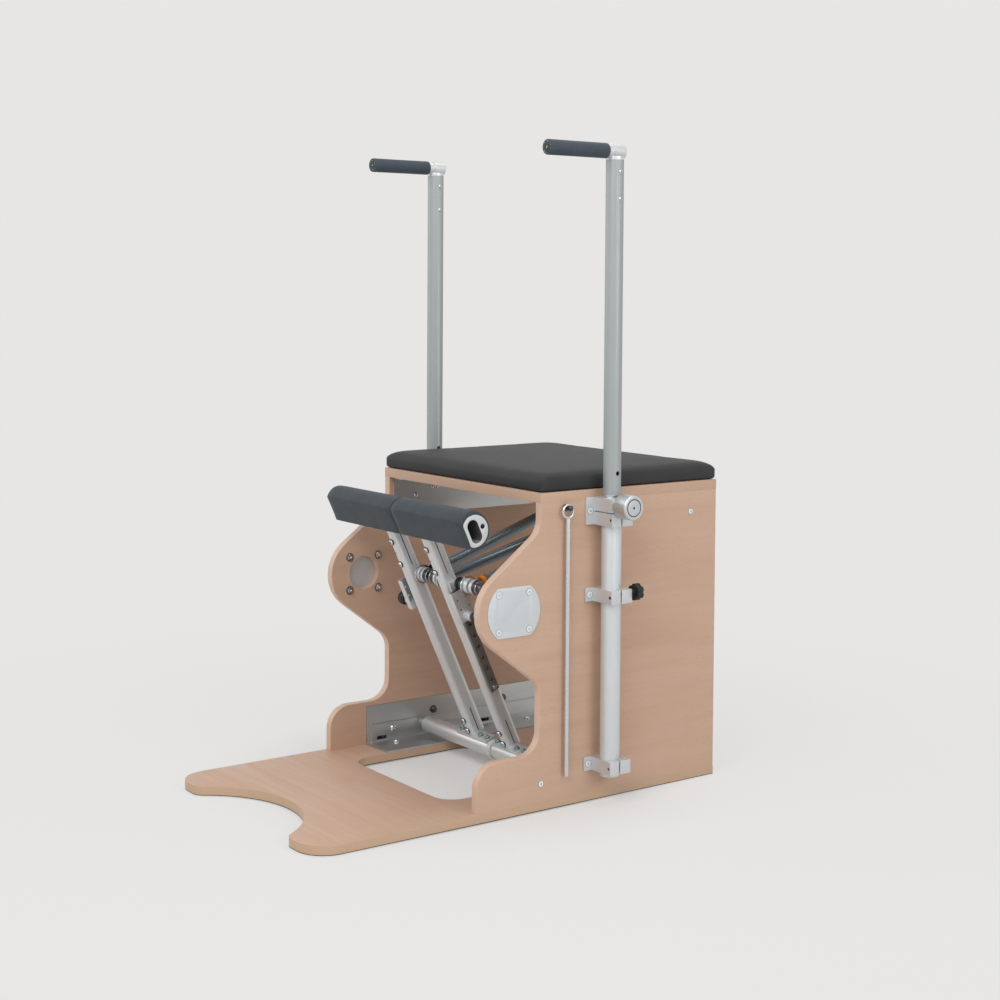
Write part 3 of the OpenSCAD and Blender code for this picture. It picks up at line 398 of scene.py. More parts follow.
class Build:
    """Collects vertices, faces and material numbers in millimetres, then makes one piece."""

    def __init__(self):
        self.verts = []
        self.faces = []
        self.kinds = []

    def add(self, verts, faces, kind):
        start = len(self.verts)
        self.verts += [tuple(v) for v in verts]
        self.faces += [tuple(i + start for i in f) for f in faces]
        self.kinds += [kind] * len(faces)

    def rings(self, rings, kind=0, ends=True):
        """Joins rings of equally many points; a ring of one point closes to a tip.
        ends says whether the first and last ring are filled."""
        n = max(len(r) for r in rings)
        verts = [p for ring in rings for p in ring]
        starts = [sum(len(r) for r in rings[:i]) for i in range(len(rings))]
        faces = []
        for i in range(len(rings) - 1):
            a, b = starts[i], starts[i + 1]
            for k in range(n):
                m = (k + 1) % n
                if len(rings[i]) == 1:
                    faces.append((a, b + m, b + k))
                elif len(rings[i + 1]) == 1:
                    faces.append((a + k, a + m, b))
                else:
                    faces.append((a + k, a + m, b + m, b + k))
        if ends and len(rings[0]) > 1:
            faces.append(tuple(range(n - 1, -1, -1)))
        if ends and len(rings[-1]) > 1:
            faces.append(tuple(starts[-1] + k for k in range(n)))
        self.add(verts, faces, kind)

    def lathe(self, profile, at, along, kind=0, steps=32):
        """Turns (radius, height, shape) points round an axis, from the place at.
        The shape "hex" gives a six-sided ring."""
        axis = Vector(along).normalized()
        side = axis.orthogonal().normalized()
        other = axis.cross(side)
        rings = []
        for point in profile:
            radius, height = point[0], point[1]
            centre = Vector(at) + axis * height
            if radius == 0:
                rings.append([centre])
                continue
            ring = []
            for k in range(steps):
                a = 2 * math.pi * k / steps
                r = radius
                if len(point) > 2:
                    r = radius * math.cos(math.pi / 6) / math.cos(a % (math.pi / 3) - math.pi / 6)
                ring.append(centre + side * (r * math.cos(a)) + other * (r * math.sin(a)))
            rings.append(ring)
        self.rings(rings, kind)

    def tube(self, path, radius, sides):
        """Sweeps a circle along a path, with a frame carried along without twist."""
        points = [Vector(p) for p in path]
        normal = None
        rings = []
        for i, p in enumerate(points):
            ahead = points[min(i + 1, len(points) - 1)] - points[max(i - 1, 0)]
            tangent = ahead.normalized()
            if normal is None:
                normal = tangent.orthogonal()
            normal = (normal - tangent * normal.dot(tangent)).normalized()
            other = tangent.cross(normal)
            rings.append([p + radius * (math.cos(2 * math.pi * k / sides) * normal
                                        + math.sin(2 * math.pi * k / sides) * other)
                          for k in range(sides)])
        self.rings(rings)

    def make(self, name, materials, body, node=(), sharp=35):
        mesh = bpy.data.meshes.new(name)
        mesh.from_pydata([Vector(v) * MM for v in self.verts], [], self.faces)
        return finish_piece(name, mesh, materials, self.kinds, body, node, sharp)


def finish_piece(name, mesh, materials, kinds, body, nodes, sharp):
    """Cleans the normals, shades, gives materials, and seats the piece on its body.
    A piece without a body is left unattached."""
    work = bmesh.new()
    work.from_mesh(mesh)
    bmesh.ops.recalc_face_normals(work, faces=work.faces)
    work.to_mesh(mesh)
    work.free()
    for mat in materials:
        mesh.materials.append(MAT[mat])
    if kinds:
        mesh.polygons.foreach_set("material_index", kinds)
    mesh.shade_smooth()
    mesh.set_sharp_from_angle(angle=math.radians(sharp))
    mesh.update()
    piece = bpy.data.objects.new(name, mesh)
    bpy.context.scene.collection.objects.link(piece)
    if body:
        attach(piece, body)
    nodes = (nodes,) if isinstance(nodes, str) else nodes
    if nodes:
        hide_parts(*nodes)
    return piece


def body_of_node(node):
    for body, members in frame["record"]["behaviour"]["bodies"].items():
        if node in members:
            return body
    raise KeyError(node)


# Angles in degrees: an edge that is softened, one that parts smooth shading, and one that is
# only a seam between flat facets; and the distance in metres at which points are one
CORNER = 35
SHADED_CORNER = 30
FLAT_SEAM = 0.6
SAME_POINT = 2e-6


def dressed(node, material, bevel, steps, pick=None, cuts=(), sharp=None):
    """The node's own solid with softened edges; pick chooses a face's material from its centre.
    cuts are planes, each a point and a direction, that part the faces where the material
    changes. sharp says whether an edge with this middle stays as it is."""
    materials = [material] if isinstance(material, str) else material
    work = bmesh.new()
    work.from_mesh(frame["nodes"][node].data)
    bmesh.ops.remove_doubles(work, verts=work.verts, dist=SAME_POINT)
    bmesh.ops.dissolve_limit(work, angle_limit=math.radians(FLAT_SEAM), verts=work.verts,
                             edges=work.edges)
    if bevel:
        edges = [e for e in work.edges
                 if len(e.link_faces) == 2 and e.calc_face_angle(0) > math.radians(CORNER)
                 and not (sharp and sharp((e.verts[0].co + e.verts[1].co) / 2 / MM))]
        bmesh.ops.bevel(work, geom=edges, offset=bevel * MM, segments=steps, profile=0.7,
                        affect="EDGES", clamp_overlap=True)
    for point, across in cuts:
        bmesh.ops.bisect_plane(work, geom=work.verts[:] + work.edges[:] + work.faces[:],
                               plane_co=point * MM, plane_no=across)
    for face in work.faces:
        face.material_index = pick(face.calc_center_median() / MM) if pick else 0
    mesh = bpy.data.meshes.new(node + "_look")
    work.to_mesh(mesh)
    work.free()
    return finish_piece(node + "_look", mesh, materials, None, body_of_node(node),
                        node, SHADED_CORNER)


def on_pedal(x, back, up):
    """A point of the pedal's own frame, in millimetres of the row frame."""
    return Vector((x, PIVOT[0] - up * math.sin(ARM_LEAN) + back * math.cos(ARM_LEAN),
                   PIVOT[1] + up * math.cos(ARM_LEAN) + back * math.sin(ARM_LEAN)))


UP_ARM = on_pedal(0, 0, 1) - on_pedal(0, 0, 0)
BACK_OF_ARM = on_pedal(0, 1, 0) - on_pedal(0, 0, 0)


# Fasteners, given by where the head sits, which way it faces, and its diameter and height

# Their material numbers; 0 is polished steel, the number after it is the dark colour painted as
# shade in holes, gaps and recesses, and GREEN stands in DARK's place on the pedals
PAINTED_SHADE, DARK, BRIGHT = 1, 2, 3
GREEN = 2


def button_head(build, at, out, d, h=None, kind=0):
    """Domed screw head with a hex socket."""
    r = d / 2
    h = h or d * 0.32
    build.lathe([(r, -0.6), (r, 0.25 * h), (r * 0.93, 0.55 * h), (r * 0.74, 0.85 * h),
                 (r * 0.52, h), (r * 0.44, h, "hex"), (r * 0.42, 0.3 * h, "hex"), (0, 0.3 * h)],
                at, out, kind)


def hex_head(build, at, out, d, h, kind=0):
    """Hexagon bolt head on its flange."""
    r = d / 2
    build.lathe([(r * 1.25, -0.4), (r * 1.25, 0.9), (r * 1.05, 1.0, "hex"),
                 (r * 1.05, h - 0.6, "hex"), (r * 0.86, h), (0, h)], at, out, kind)


def nut(build, at, out, d, h, bolt=6.0):
    """Hexagon nut on its flange, with the end of the bolt standing out of it."""
    r, shaft = d / 2, bolt / 2
    build.lathe([(r * 1.3, -0.4), (r * 1.3, 1.0), (r * 1.02, 1.1, "hex"), (r * 1.02, h, "hex"),
                 (shaft, h + 0.2), (shaft, h + 3.0), (shaft - 0.7, h + 3.6), (0, h + 3.6)],
                at, out)


def washer(build, at, out, r):
    """Broad dark washer with a softened rim."""
    build.lathe([(r, -0.4), (r, 1.2), (r - 0.6, 1.7), (r - 3.2, 1.8), (0, 1.8)], at, out, DARK)


def socket(build, at, out, d):
    """Recess of a screw that sits inside its hole, painted as a nearly flat dark disc of painted
    shade, with the thin bright lip round it.
    """
    r = d / 2
    build.lathe([(r * 1.22, -0.3), (r * 1.22, 0.15), (r, 0.25), (r, 0.1)], at, out)
    build.lathe([(r, -0.2), (r, 0.12), (r * 0.5, 0.14), (r * 0.45, 0.12, "hex"), (0, 0.1)],
                at, out, PAINTED_SHADE)


def shadow_ring(build, at, out, d):
    """Thin dark ring under a head, a painted shadow round it."""
    r = d / 2
    build.lathe([(r, -0.3), (r, 0.35), (r - 0.3, 0.5), (r * 0.4, 0.5), (0, 0.5)], at, out, PAINTED_SHADE)


def flat_head(build, at, out, d):
    """Countersunk screw: a flat disc in the bright colour, which is partly a painted highlight,
    with a painted shadow ring for the gap round it and painted shade in its hex recess.
    """
    r = d / 2
    build.lathe([(r * 1.1, -0.3), (r * 1.1, 0.12), (r * 0.98, 0.12)], at, out, PAINTED_SHADE)
    build.lathe([(r, -0.8), (r, 0.25), (r * 0.93, 0.6), (r * 0.36, 0.65), (r * 0.36, 0.3)],
                at, out, BRIGHT)
    build.lathe([(r * 0.37, -0.5), (r * 0.37, 0.5), (r * 0.30, 0.55, "hex"),
                 (r * 0.28, 0.0, "hex"), (0, 0.0)], at, out, PAINTED_SHADE)


# Places of the chassis fasteners as (y, z) on each side panel and its brackets
PANEL_SCREWS = ((410.9, 563.3), (26.9, 55.4))
UPPER_SCREWS = ((89, 563.5), (132, 580.5), (144, 580.5), (410.9, 563.3))
LOWER_BOLT = (28, 49.6)
PLATE_BOLTS = ((138, 75.6), (330, 75.6))
SLOTS = ((-1, 33), (276, 33))
SLOT_HALF = (13, 4)
SMALL_SCREW = (-26, 61)
BASE_BOLT_X = 235
BASE_BOLTS_Y = (22, 200, 380)
MIDDLE_SOCKET_D, SOCKET_D = 6, 4.6

# Heights of the bolts at the top of the upper poles
POLE_BOLTS_Z = (1250.6, 1197.8)

# Heights up the arm of its front bolts, its empty screw hole, its side screw and the rack's bolt
ARM_BOLTS = (494, 441, 55, 30)
ARM_HOLE = 468
ARM_SIDE_SCREW = (24.6, 450)
RACK_BOLT = 163


def chassis_fasteners(side, s):
    build = Build()
    out, inward = (s, 0, 0), (-s, 0, 0)
    inner = HALF_W - PLY_T
    plate = s * (inner - PLATE_T)
    for y, z in PANEL_SCREWS:
        flat_head(build, (s * HALF_W, y, z), out, 12)
    for dy in (-1, 1):
        for dz in (-1, 1):
            y, z = BULGE[0] + dy * COVER_SCREW, BULGE[1] + dz * COVER_SCREW
            flat_head(build, (s * (HALF_W + COVER_T), y, z), out, 13)
            washer(build, (s * inner, y, z), inward, 9.2)
            nut(build, (s * (inner - 1.6), y, z), inward, 12, 4.0)
    for y, z in UPPER_SCREWS:
        button_head(build, (plate, y, z), inward, 11)
    button_head(build, (plate - s * ANGLE_T, *LOWER_BOLT), inward, 15)
    for y, z in PLATE_BOLTS:
        hex_head(build, (plate, y, z), inward, 14, 6, DARK)
    half_y, half_z = SLOT_HALF
    for y, z in SLOTS:
        # Each slot shows painted shade: a flat dark quad between the panel and the plate, with a
        # dark button head in it
        corners = ((-half_y, -half_z), (half_y, -half_z), (half_y, half_z), (-half_y, half_z))
        build.add([(s * (inner - 0.4), y + a, z + b) for a, b in corners], [(0, 1, 2, 3)], PAINTED_SHADE)
        button_head(build, (plate, y + 6, z), inward, 7, 2.4, DARK)
    button_head(build, (plate, *SMALL_SCREW), inward, 6)
    for y in BASE_BOLTS_Y:
        hex_head(build, (s * BASE_BOLT_X, y, BOARD_TOP + PLATE_T), (0, 0, 1), 12, 5.5)
    for z in FLANGE_MIDS.values():
        flat_head(build, (s * (HALF_W + ANGLE_T), FLANGE_SCREW_Y, z), out, 13.5)
    for name, z in BRACKET_MIDS.items():
        socket(build, (s * CLAMP_BOLT_X, BLOCK_FRONT, z), (0, -1, 0),
               MIDDLE_SOCKET_D if name == "middle" else SOCKET_D)
    build.make(f"chassis_fasteners_{side}", ["chrome", "inside", "washer", "screw"],
               "chassis")


def pole_fasteners(side, s):
    build = Build()
    for z in POLE_BOLTS_Z:
        for out in (-1, 1):
            button_head(build, (s * POLE_X + out * (POLE_D / 2 - 0.5), POLE_Y, z), (out, 0, 0),
                        8.5)
    build.make(f"pole_fasteners_{side}", ["chrome"], f"pole_{side}")


def pedal_fasteners(side, s):
    build = Build()
    x = s * ARM_X
    for up in ARM_BOLTS:
        at = on_pedal(x, ARM_FRONT, up)
        shadow_ring(build, at, -BACK_OF_ARM, 14.5)
        button_head(build, at - BACK_OF_ARM * 0.4, -BACK_OF_ARM, 11.5)
    socket(build, on_pedal(x, ARM_FRONT, ARM_HOLE), -BACK_OF_ARM, 3)
    button_head(build, on_pedal(x + ARM_W / 2 - 0.3, *ARM_SIDE_SCREW), (1, 0, 0), 4)
    rack = s * (ARM_X + ARM_W / 2 + 8)
    hex_head(build, on_pedal(rack, ARM_MID, RACK_BOLT), (s, 0, 0), 9, 4)
    for across in FOOT_BOLTS:
        at = on_pedal(x + across, FOOT_BOLT_BACK, FOOT_TOP)
        hex_head(build, at, UP_ARM, 10, 5, GREEN)
        build.lathe([(2.4, 4.5), (2.4, 7.2), (1.8, 7.8), (0, 7.8)], at, UP_ARM, GREEN, 16)
    build.make(f"pedal_fasteners_{side}", ["chrome", "inside", "green_zinc"],
               f"pedal_{side}")


# Soft pieces

# The cushion before it is blown up: how far it stands inside the board's edge, its height,
# its corners' radius at the side and on top, and how wide and how tall its edge rolls over
CUSHION_INSET = -2.0
CUSHION_H = 38.5
CUSHION_ROUND = 9
CUSHION_ROUND_TOP = 30
CUSHION_CROWN = 4.5
EDGE_ROLL = (20, 15)
CUSHION_STEPS = 200

# How far the finished cushion stands over the board's edge, and the cap on a point's move
CUSHION_OVER = 1.2
SWELL = 4.0

# Cloth: cells in metres, pressure and frames
VOXEL = 0.006
PRESSURE = 4.0
CLOTH_FRAMES = 20


def rounded_rectangle(half_x, half_y, radius, steps):
    """Evenly spaced points round a rectangle with round corners, about the origin."""
    straight = (2 * (half_y - radius), 2 * (half_x - radius))
    arc = math.pi * radius / 2
    total = 2 * sum(straight) + 4 * arc
    points = []
    for k in range(steps):
        along = total * k / steps
        leg = 0
        while leg < 7 and along > (arc if leg % 2 else straight[leg // 2 % 2]):
            along -= arc if leg % 2 else straight[leg // 2 % 2]
            leg += 1
        quarter = leg // 2
        turn = quarter * math.pi / 2
        out_x, out_y = (half_x, half_y) if quarter % 2 == 0 else (half_y, half_x)
        if leg % 2 == 0:
            x, y = out_x, along - (out_y - radius)
        else:
            a = along / radius
            x, y = out_x - radius + radius * math.cos(a), out_y - radius + radius * math.sin(a)
        points.append((x * math.cos(turn) - y * math.sin(turn),
                       x * math.sin(turn) + y * math.cos(turn)))
    return points


def cushion_profile():
    """Inset and height of each ring, from the board up the side, over the roll and to the crown."""
    wide, tall = EDGE_ROLL
    side_top = CUSHION_H - CUSHION_CROWN - tall
    rows = [(1.4, 0.2), (0.0, 1.0)]
    for i in range(1, 9):
        t = i / 8
        rows.append((0.8 * math.sin(math.pi * t), 1.0 + (side_top - 1.0) * t))
    for i in range(1, 13):
        a = math.pi / 2 * i / 12
        rows.append((wide * (1 - math.cos(a)), side_top + tall * math.sin(a)))
    reach = (BACK_Y - FRONT_Y) / 2 - CUSHION_INSET
    for i in range(1, 22):
        t = i / 22
        inset = wide + (reach - wide) * t * 0.95
        rise = math.sin(math.pi / 2 * min(1, t * 1.2))
        rows.append((inset, side_top + tall + CUSHION_CROWN * rise))
    return rows


def fill_out(mesh, half_x, half_y):
    """Stretches the blown cushion so that its widest line stands over the seat board's edge."""
    xs = [v.co.x for v in mesh.vertices]
    ys = [v.co.y for v in mesh.vertices]
    middle_x, middle_y = (max(xs) + min(xs)) / 2, (max(ys) + min(ys)) / 2
    wide, deep = 2 * half_x / (max(xs) - min(xs)), 2 * half_y / (max(ys) - min(ys))
    for vertex in mesh.vertices:
        vertex.co.x = (vertex.co.x - middle_x) * wide
        vertex.co.y = (vertex.co.y - middle_y) * deep + (BACK_Y + FRONT_Y) / 2 * MM


def swollen(piece, limit, floor_z, half_x, half_y):
    """Blows the piece up as cloth round its filling and gives it the swollen mesh.
    No point moves further than limit or sinks below floor_z."""
    shell = bpy.data.objects.new(piece.name + "_cloth", piece.data.copy())
    bpy.context.scene.collection.objects.link(shell)
    cells = shell.modifiers.new("cells", "REMESH")
    cells.mode = "VOXEL"
    cells.voxel_size = VOXEL
    state = bpy.context.evaluated_depsgraph_get()
    shell.data = bpy.data.meshes.new_from_object(shell.evaluated_get(state))
    shell.modifiers.clear()
    rest = [v.co.copy() for v in shell.data.vertices]
    cloth = shell.modifiers.new("cloth", "CLOTH")
    cloth.settings.use_pressure = True
    cloth.settings.uniform_pressure_force = PRESSURE
    cloth.settings.effector_weights.gravity = 0.0
    for moment in range(1, CLOTH_FRAMES + 1):
        bpy.context.scene.frame_set(moment)
    state = bpy.context.evaluated_depsgraph_get()
    blown = [v.co.copy() for v in shell.evaluated_get(state).data.vertices]
    shell.modifiers.clear()
    bpy.context.scene.frame_set(1)
    for vertex, start, end in zip(shell.data.vertices, rest, blown):
        move = end - start
        move *= limit / (limit + move.length)
        spot = start + move
        spot.z = max(spot.z, floor_z)
        vertex.co = spot
    fill_out(shell.data, half_x, half_y)
    finer = shell.modifiers.new("finer", "SUBSURF")
    finer.levels = 1
    state = bpy.context.evaluated_depsgraph_get()
    mesh = bpy.data.meshes.new_from_object(shell.evaluated_get(state))
    mesh.materials.clear()
    for mat in piece.data.materials:
        mesh.materials.append(mat)
    mesh.shade_smooth()
    piece.data = mesh
    bpy.data.objects.remove(shell)


def seat_cushion():
    """Vinyl over a firm foam block: nearly straight sides, a rolled edge and a low crown."""
    build = Build()
    half_x = HALF_W - CUSHION_INSET
    half_y = (BACK_Y - FRONT_Y) / 2 - CUSHION_INSET
    middle = (BACK_Y + FRONT_Y) / 2
    rings = []
    for inset, height in cushion_profile():
        radius = min(CUSHION_ROUND + 1.4 * max(inset, 0), CUSHION_ROUND_TOP)
        outline = rounded_rectangle(half_x - inset, half_y - inset, radius, CUSHION_STEPS)
        rings.append([(x, middle + y, SEAT_TOP + height) for x, y in outline])
    build.rings(rings)
    piece = build.make("seat_cushion_vinyl", ["vinyl"], "chassis", "seat_cushion", 60)
    swollen(piece, SWELL * MM, (SEAT_TOP + 0.2) * MM, (HALF_W + CUSHION_OVER) * MM,
            ((BACK_Y - FRONT_Y) / 2 + CUSHION_OVER) * MM)


def pad_outline(grow, steps=96):
    """The pad's D-shaped section as (back, up) points, grown by grow."""
    points = []
    front = PAD_FLAT - grow
    radius = PAD_R + grow
    for k in range(steps):
        a = 2 * math.pi * k / steps
        back, up = PAD_BACK + radius * math.cos(a), PAD_UP + radius * math.sin(a)
        if back < front:
            back = front + 0.06 * (front - back)
        points.append((back, up))
    return points


# Angle in degrees above which a foam edge stays sharp
SOFT_CORNER = 50

# Rolled end of a pad's foam: distance from the pad's end, and growth of the foam there
PAD_ENDS = ((1.0, -2.2), (1.5, -0.8), (2.8, 0.0))
PAD_SWELL = 0.25


def pad_foam(side, s):
    """Foam sleeve round the pad's core, thicker on top, with rolled ends."""
    build = Build()
    inner = pad_outline(0.1)
    outer = pad_outline(FOAM_T)
    stations = list(PAD_ENDS) + [(1 + PAD_W * t / 12, PAD_SWELL) for t in range(1, 12)]
    stations += [(PAD_W + 2 - x, g) for x, g in reversed(PAD_ENDS)]
    rings = [[on_pedal(s * stations[0][0], b, u) for b, u in inner]]
    for x, g in stations:
        ring = []
        for (ob, ou), (ib, iu) in zip(outer, inner):
            lift = FOAM_T * max(0.0, (ou - PAD_UP) / PAD_R) ** 1.5
            scale = 1 + g / FOAM_T
            ring.append(on_pedal(s * x, ib + (ob - ib) * scale,
                                 iu + (ou - iu) * scale + lift * scale))
        rings.append(ring)
    rings.append([on_pedal(s * stations[-1][0], b, u) for b, u in inner])
    rings.append(rings[0])
    build.rings(rings, ends=False)
    piece = build.make(f"pad_foam_sleeve_{side}", ["pad_foam"], f"pedal_{side}",
                       f"pad_foam_{side}", SOFT_CORNER)


def handle_grip(side, s):
    """Foam grip of a handle, with its black end plug."""
    build = Build()
    r = GRIP_D / 2
    bore = GRIP_BORE_R
    length = GRIP_BACK - GRIP_FRONT
    profile = [(bore, 0.0), (r - 2.5, 0.0), (r - 0.8, 0.7), (r, 2.4), (r - 0.1, length * 0.5),
               (r, length - 2.0), (r - 0.7, length - 0.5), (r - 2.0, length), (bore, length),
               (bore, 0.0)]
    build.lathe(profile, (s * POLE_X, GRIP_FRONT, GRIP_Z), (0, 1, 0), steps=56)
    piece = build.make(f"handle_foam_{side}", ["grip_foam"], f"pole_{side}",
                       f"handle_grip_{side}", SOFT_CORNER)
    plug = Build()
    plug.lathe([(bore, 0.8), (bore - 1.5, -0.6), (3.4, -1.2), (3.0, 0.6, "hex"), (0, 0.6)],
               (s * POLE_X, GRIP_FRONT, GRIP_Z), (0, 1, 0))
    plug.make(f"handle_plug_{side}", ["knob"], f"pole_{side}")


# Springs

COIL_TURNS = 150
COIL_STEPS = 14
HOOK_STEPS = 18
WIRE_SIDES = 7

# From the pin to the first curl, the bar's longer share of that, and the eyes' clearance
SHANK = 24
BAR_SHANK = 32
EYE_GAP = 1.5
EYE_OFF = 1.1


def smooth(t):
    """Eases from 0 to 1."""
    t = min(max(t, 0.0), 1.0)
    return t * t * (3 - 2 * t)


def spring_path(x0, x1):
    """Points of the wire: eye round the pin, close coil, and eye round the anchor bar."""
    start = on_pedal(x0, PIN_BACK, PIN_UP)
    end = Vector((x1, ANCHOR[0], ANCHOR[1]))
    along = (end - start).normalized()
    side = (Vector((1, 0, 0)) - along * along.x).normalized()
    other = along.cross(side)
    length = (end - start).length
    wire = WIRE_D / 2
    pin_r = PIN_D / 2 + wire + EYE_GAP
    bar_r = ANCHOR_D / 2 + wire + EYE_GAP
    coil_r = COIL_D / 2 - wire
    low, high = EYE_OFF, length - EYE_OFF
    first, last = SHANK, length - BAR_SHANK
    path = []
    for i in range(HOOK_STEPS + 1):
        a = math.radians(40 - 220 * i / HOOK_STEPS)
        path.append((0, pin_r * math.cos(a), low + pin_r * math.sin(a)))
    path.append((0, -pin_r, low + (first - low) * 0.5))
    n = COIL_TURNS * COIL_STEPS
    for i in range(n + 1):
        t = i / n
        a = 2 * math.pi * COIL_TURNS * t + math.pi
        r = pin_r + (coil_r - pin_r) * smooth(t * COIL_TURNS * 0.5)
        r += (bar_r - coil_r) * smooth((t - 1) * COIL_TURNS + 1)
        path.append((r * math.sin(a), r * math.cos(a), first + (last - first) * t))
    path.append((0, -bar_r, last + (high - last) * 0.6))
    for i in range(HOOK_STEPS + 1):
        a = math.radians(180 - 220 * i / HOOK_STEPS)
        path.append((0, bar_r * math.cos(a), high + bar_r * math.sin(a)))
    return [start + side * p[0] + other * p[1] + along * p[2] for p in path]


def spring(kind, side, s, x0, x1):
    """One extension spring's wire, between the bodies of its two ends, built at rest and put on no
    body.
    """
    build = Build()
    build.tube(spring_path(s * x0, s * x1), WIRE_D / 2, WIRE_SIDES)
    piece = build.make(f"spring_wire_{kind}_{side}", ["spring"], None,
                       f"spring_{kind}_{side}", 80)
    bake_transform(piece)


def spring_ring(side, s, x0, x1, colour):
    """Coloured ring on the pin end of a spring, with the short steel collar behind it."""
    start = on_pedal(s * x0, PIN_BACK, PIN_UP)
    along = (Vector((s * x1, ANCHOR[0], ANCHOR[1])) - start).normalized()
    build = Build()
    r = COIL_D / 2
    build.lathe([(r + 0.4, 19.5), (r + 1.7, 19.6), (r + 2.4, 20.4), (r + 2.4, 26.2),
                 (r + 1.8, 27.0), (r + 0.4, 27.1), (r + 0.4, 19.5)], start, along, 0, 40)
    build.lathe([(r + 0.4, 27.2), (r + 1.0, 27.4), (r + 1.0, 32.9), (r + 0.7, 33.4),
                 (r + 0.4, 33.5), (r + 0.4, 27.2)], start, along, 1, 40)
    build.make(f"spring_ring_{side}_look", [colour, "chrome"], body_of_node(f"spring_ring_{side}"),
               f"spring_ring_{side}")


# Dressing of the rigid nodes

def from_pin(centre):
    """Distance of a point from the axis of the pedal's spring pin, in millimetres."""
    pin = on_pedal(0, PIN_BACK, PIN_UP)
    return math.hypot(centre.y - pin.y, centre.z - pin.z)


# Stretches of the spring pin that are dark, from and to their distance from the chair's middle
BLACK_RINGS = ((7.1, 19.9), (94.1, 98.4), (110.1, 114.4), (157.1, 169.9))
BRIGHT_DISCS = ((5.4, 7.1), (37.9, 41.1), (124.9, 128.1), (169.9, 171.6))
DARK_NUT = (171.6, 183.0)
DARK_SPACER = (98.4, 124.9)
RACK_HEAD = PIN_UP - 12

# Distances from the pin's axis that the rollers and the black rings stay within
ROLLER_REACH = 20.0
RING_REACH = 16

# Distance from the pad's axis that the core's hollow stays within, and its depth of bright rim
HOLLOW_REACH = 24.5
CORE_RIM = 6

# Index knob: the groove's depths behind the knob's widest point, and its middle socket
GROOVE_DEPTHS = (0.2, 2.7)
SOCKET_R = 3.2
SOCKET_DEPTHS = (0.3, 5)


def carriage_kind(centre):
    """Material of a carriage face: 0 channel and rollers, 1 black rings, 2 dark steel,
    3 bright discs."""
    x = abs(centre.x)
    radius = from_pin(centre)
    if radius > ROLLER_REACH:
        return 0
    if any(a < x < b for a, b in BLACK_RINGS) and radius < RING_REACH:
        return 1
    if any(a < x < b for a, b in (DARK_NUT, DARK_SPACER)):
        return 2
    if any(a < x < b for a, b in BRIGHT_DISCS):
        return 3
    return 0


def pole_kind(centre):
    """The index hole above the clamp is painted on the pole's inner wall too, as a dark patch of
    painted shade.
    """
    y, z = abs(centre.y - POLE_Y), abs(centre.z - INDEX_Z - INDEX_PITCH)
    inside = max(y, z) < INDEX_HOLE_R and y + z < INDEX_HOLE_R * math.sqrt(2)
    return 1 if inside and abs(centre.x) < POLE_X - 0.8 * POLE_D / 2 else 0


def panel_joint(middle):
    """Edges of a panel that lie on the base or under the seat board."""
    return abs(middle.z - BOARD_TOP) < 0.1 or abs(middle.z - PANEL_TOP) < 0.1


def axle_kind(centre):
    """The spacer ring in the middle of the axle is nylon, and the axle's bare ends are zinc."""
    if abs(centre.x) > SLEEVE_END:
        return 2
    off = math.hypot(centre.y - PIVOT[0], centre.z - PIVOT[1])
    return 1 if off > AXLE_R + 1 and abs(centre.x - SPLIT_X) < SPACER_W / 2 + 1 else 0


def core_kind(centre):
    """The pad core's hollow is painted dark inside, as painted shade."""
    off = math.hypot(*(centre - on_pedal(centre.x, PAD_BACK, PAD_UP)).yz)
    return 1 if off < HOLLOW_REACH and CORE_RIM < abs(centre.x) < PAD_W - CORE_RIM else 0


def knob_kind(centre):
    """The ring groove and the socket in the index knob's face are painted dark, as painted shade in
    these recesses.
    """
    off = math.hypot(centre.y - POLE_Y, centre.z - INDEX_Z)
    depth = KNOB_FACE_X - abs(centre.x)
    groove = KNOB_GROOVE[0] < off < KNOB_GROOVE[1] and GROOVE_DEPTHS[0] < depth < GROOVE_DEPTHS[1]
    middle = off < SOCKET_R and SOCKET_DEPTHS[0] < depth < SOCKET_DEPTHS[1]
    return 1 if groove or middle else 0


def up_arm(centre):
    """Distance of a point up the arm from the pivot, in millimetres."""
    return (centre - on_pedal(centre.x, 0, 0)).dot(UP_ARM)


def rack_kind(centre):
    """The rack's head, above the carriage, is bright."""
    return 1 if up_arm(centre) > RACK_HEAD else 0


def foot_kind(centre):
    """The spigot inside the arm is painted dark, as painted shade seen through the slit; the strip
    that carries it is bright.
    """
    return 1 if up_arm(centre) > FOOT_TOP + 1 else 0


def board_kind(centre):
    """The base's underside and the thin line along its lower edge are painted dark in the rubber
    colour, as painted shade under the base.
    """
    return 1 if centre.z < BASE_SHADE_LINE else 0


# Nodes of one material on each side: its name, the softening in millimetres and its steps
PLAIN = {
    "upper_bracket": ("zinc", 0.8, 2),
    "lower_bracket": ("zinc", 0.8, 2),
    "cover_plate": ("cover", 0.5, 2),
    "lower_pole": ("lower_pole", 0.4, 2),
    "pole_bushing": ("chrome", 0.5, 2),
    "top_bracket": ("clamp", 1.0, 2),
    "middle_bracket": ("clamp", 1.0, 2),
    "foot_bracket": ("clamp", 1.0, 2),
    "handle_fitting": ("clamp", 0.9, 3),
    "star_knob": ("knob", 1.2, 3),
    "pedal_sleeve": ("core", 0, 1),
    "pedal_arm": ("arm", 0.3, 1),
    # The pad post is given the dark colour all over, as painted shade where it shows in the arm's
    # slits
    "pad_post": ("inside", 0.4, 1),
    "carriage_knob": ("knob", 0.3, 1),
}


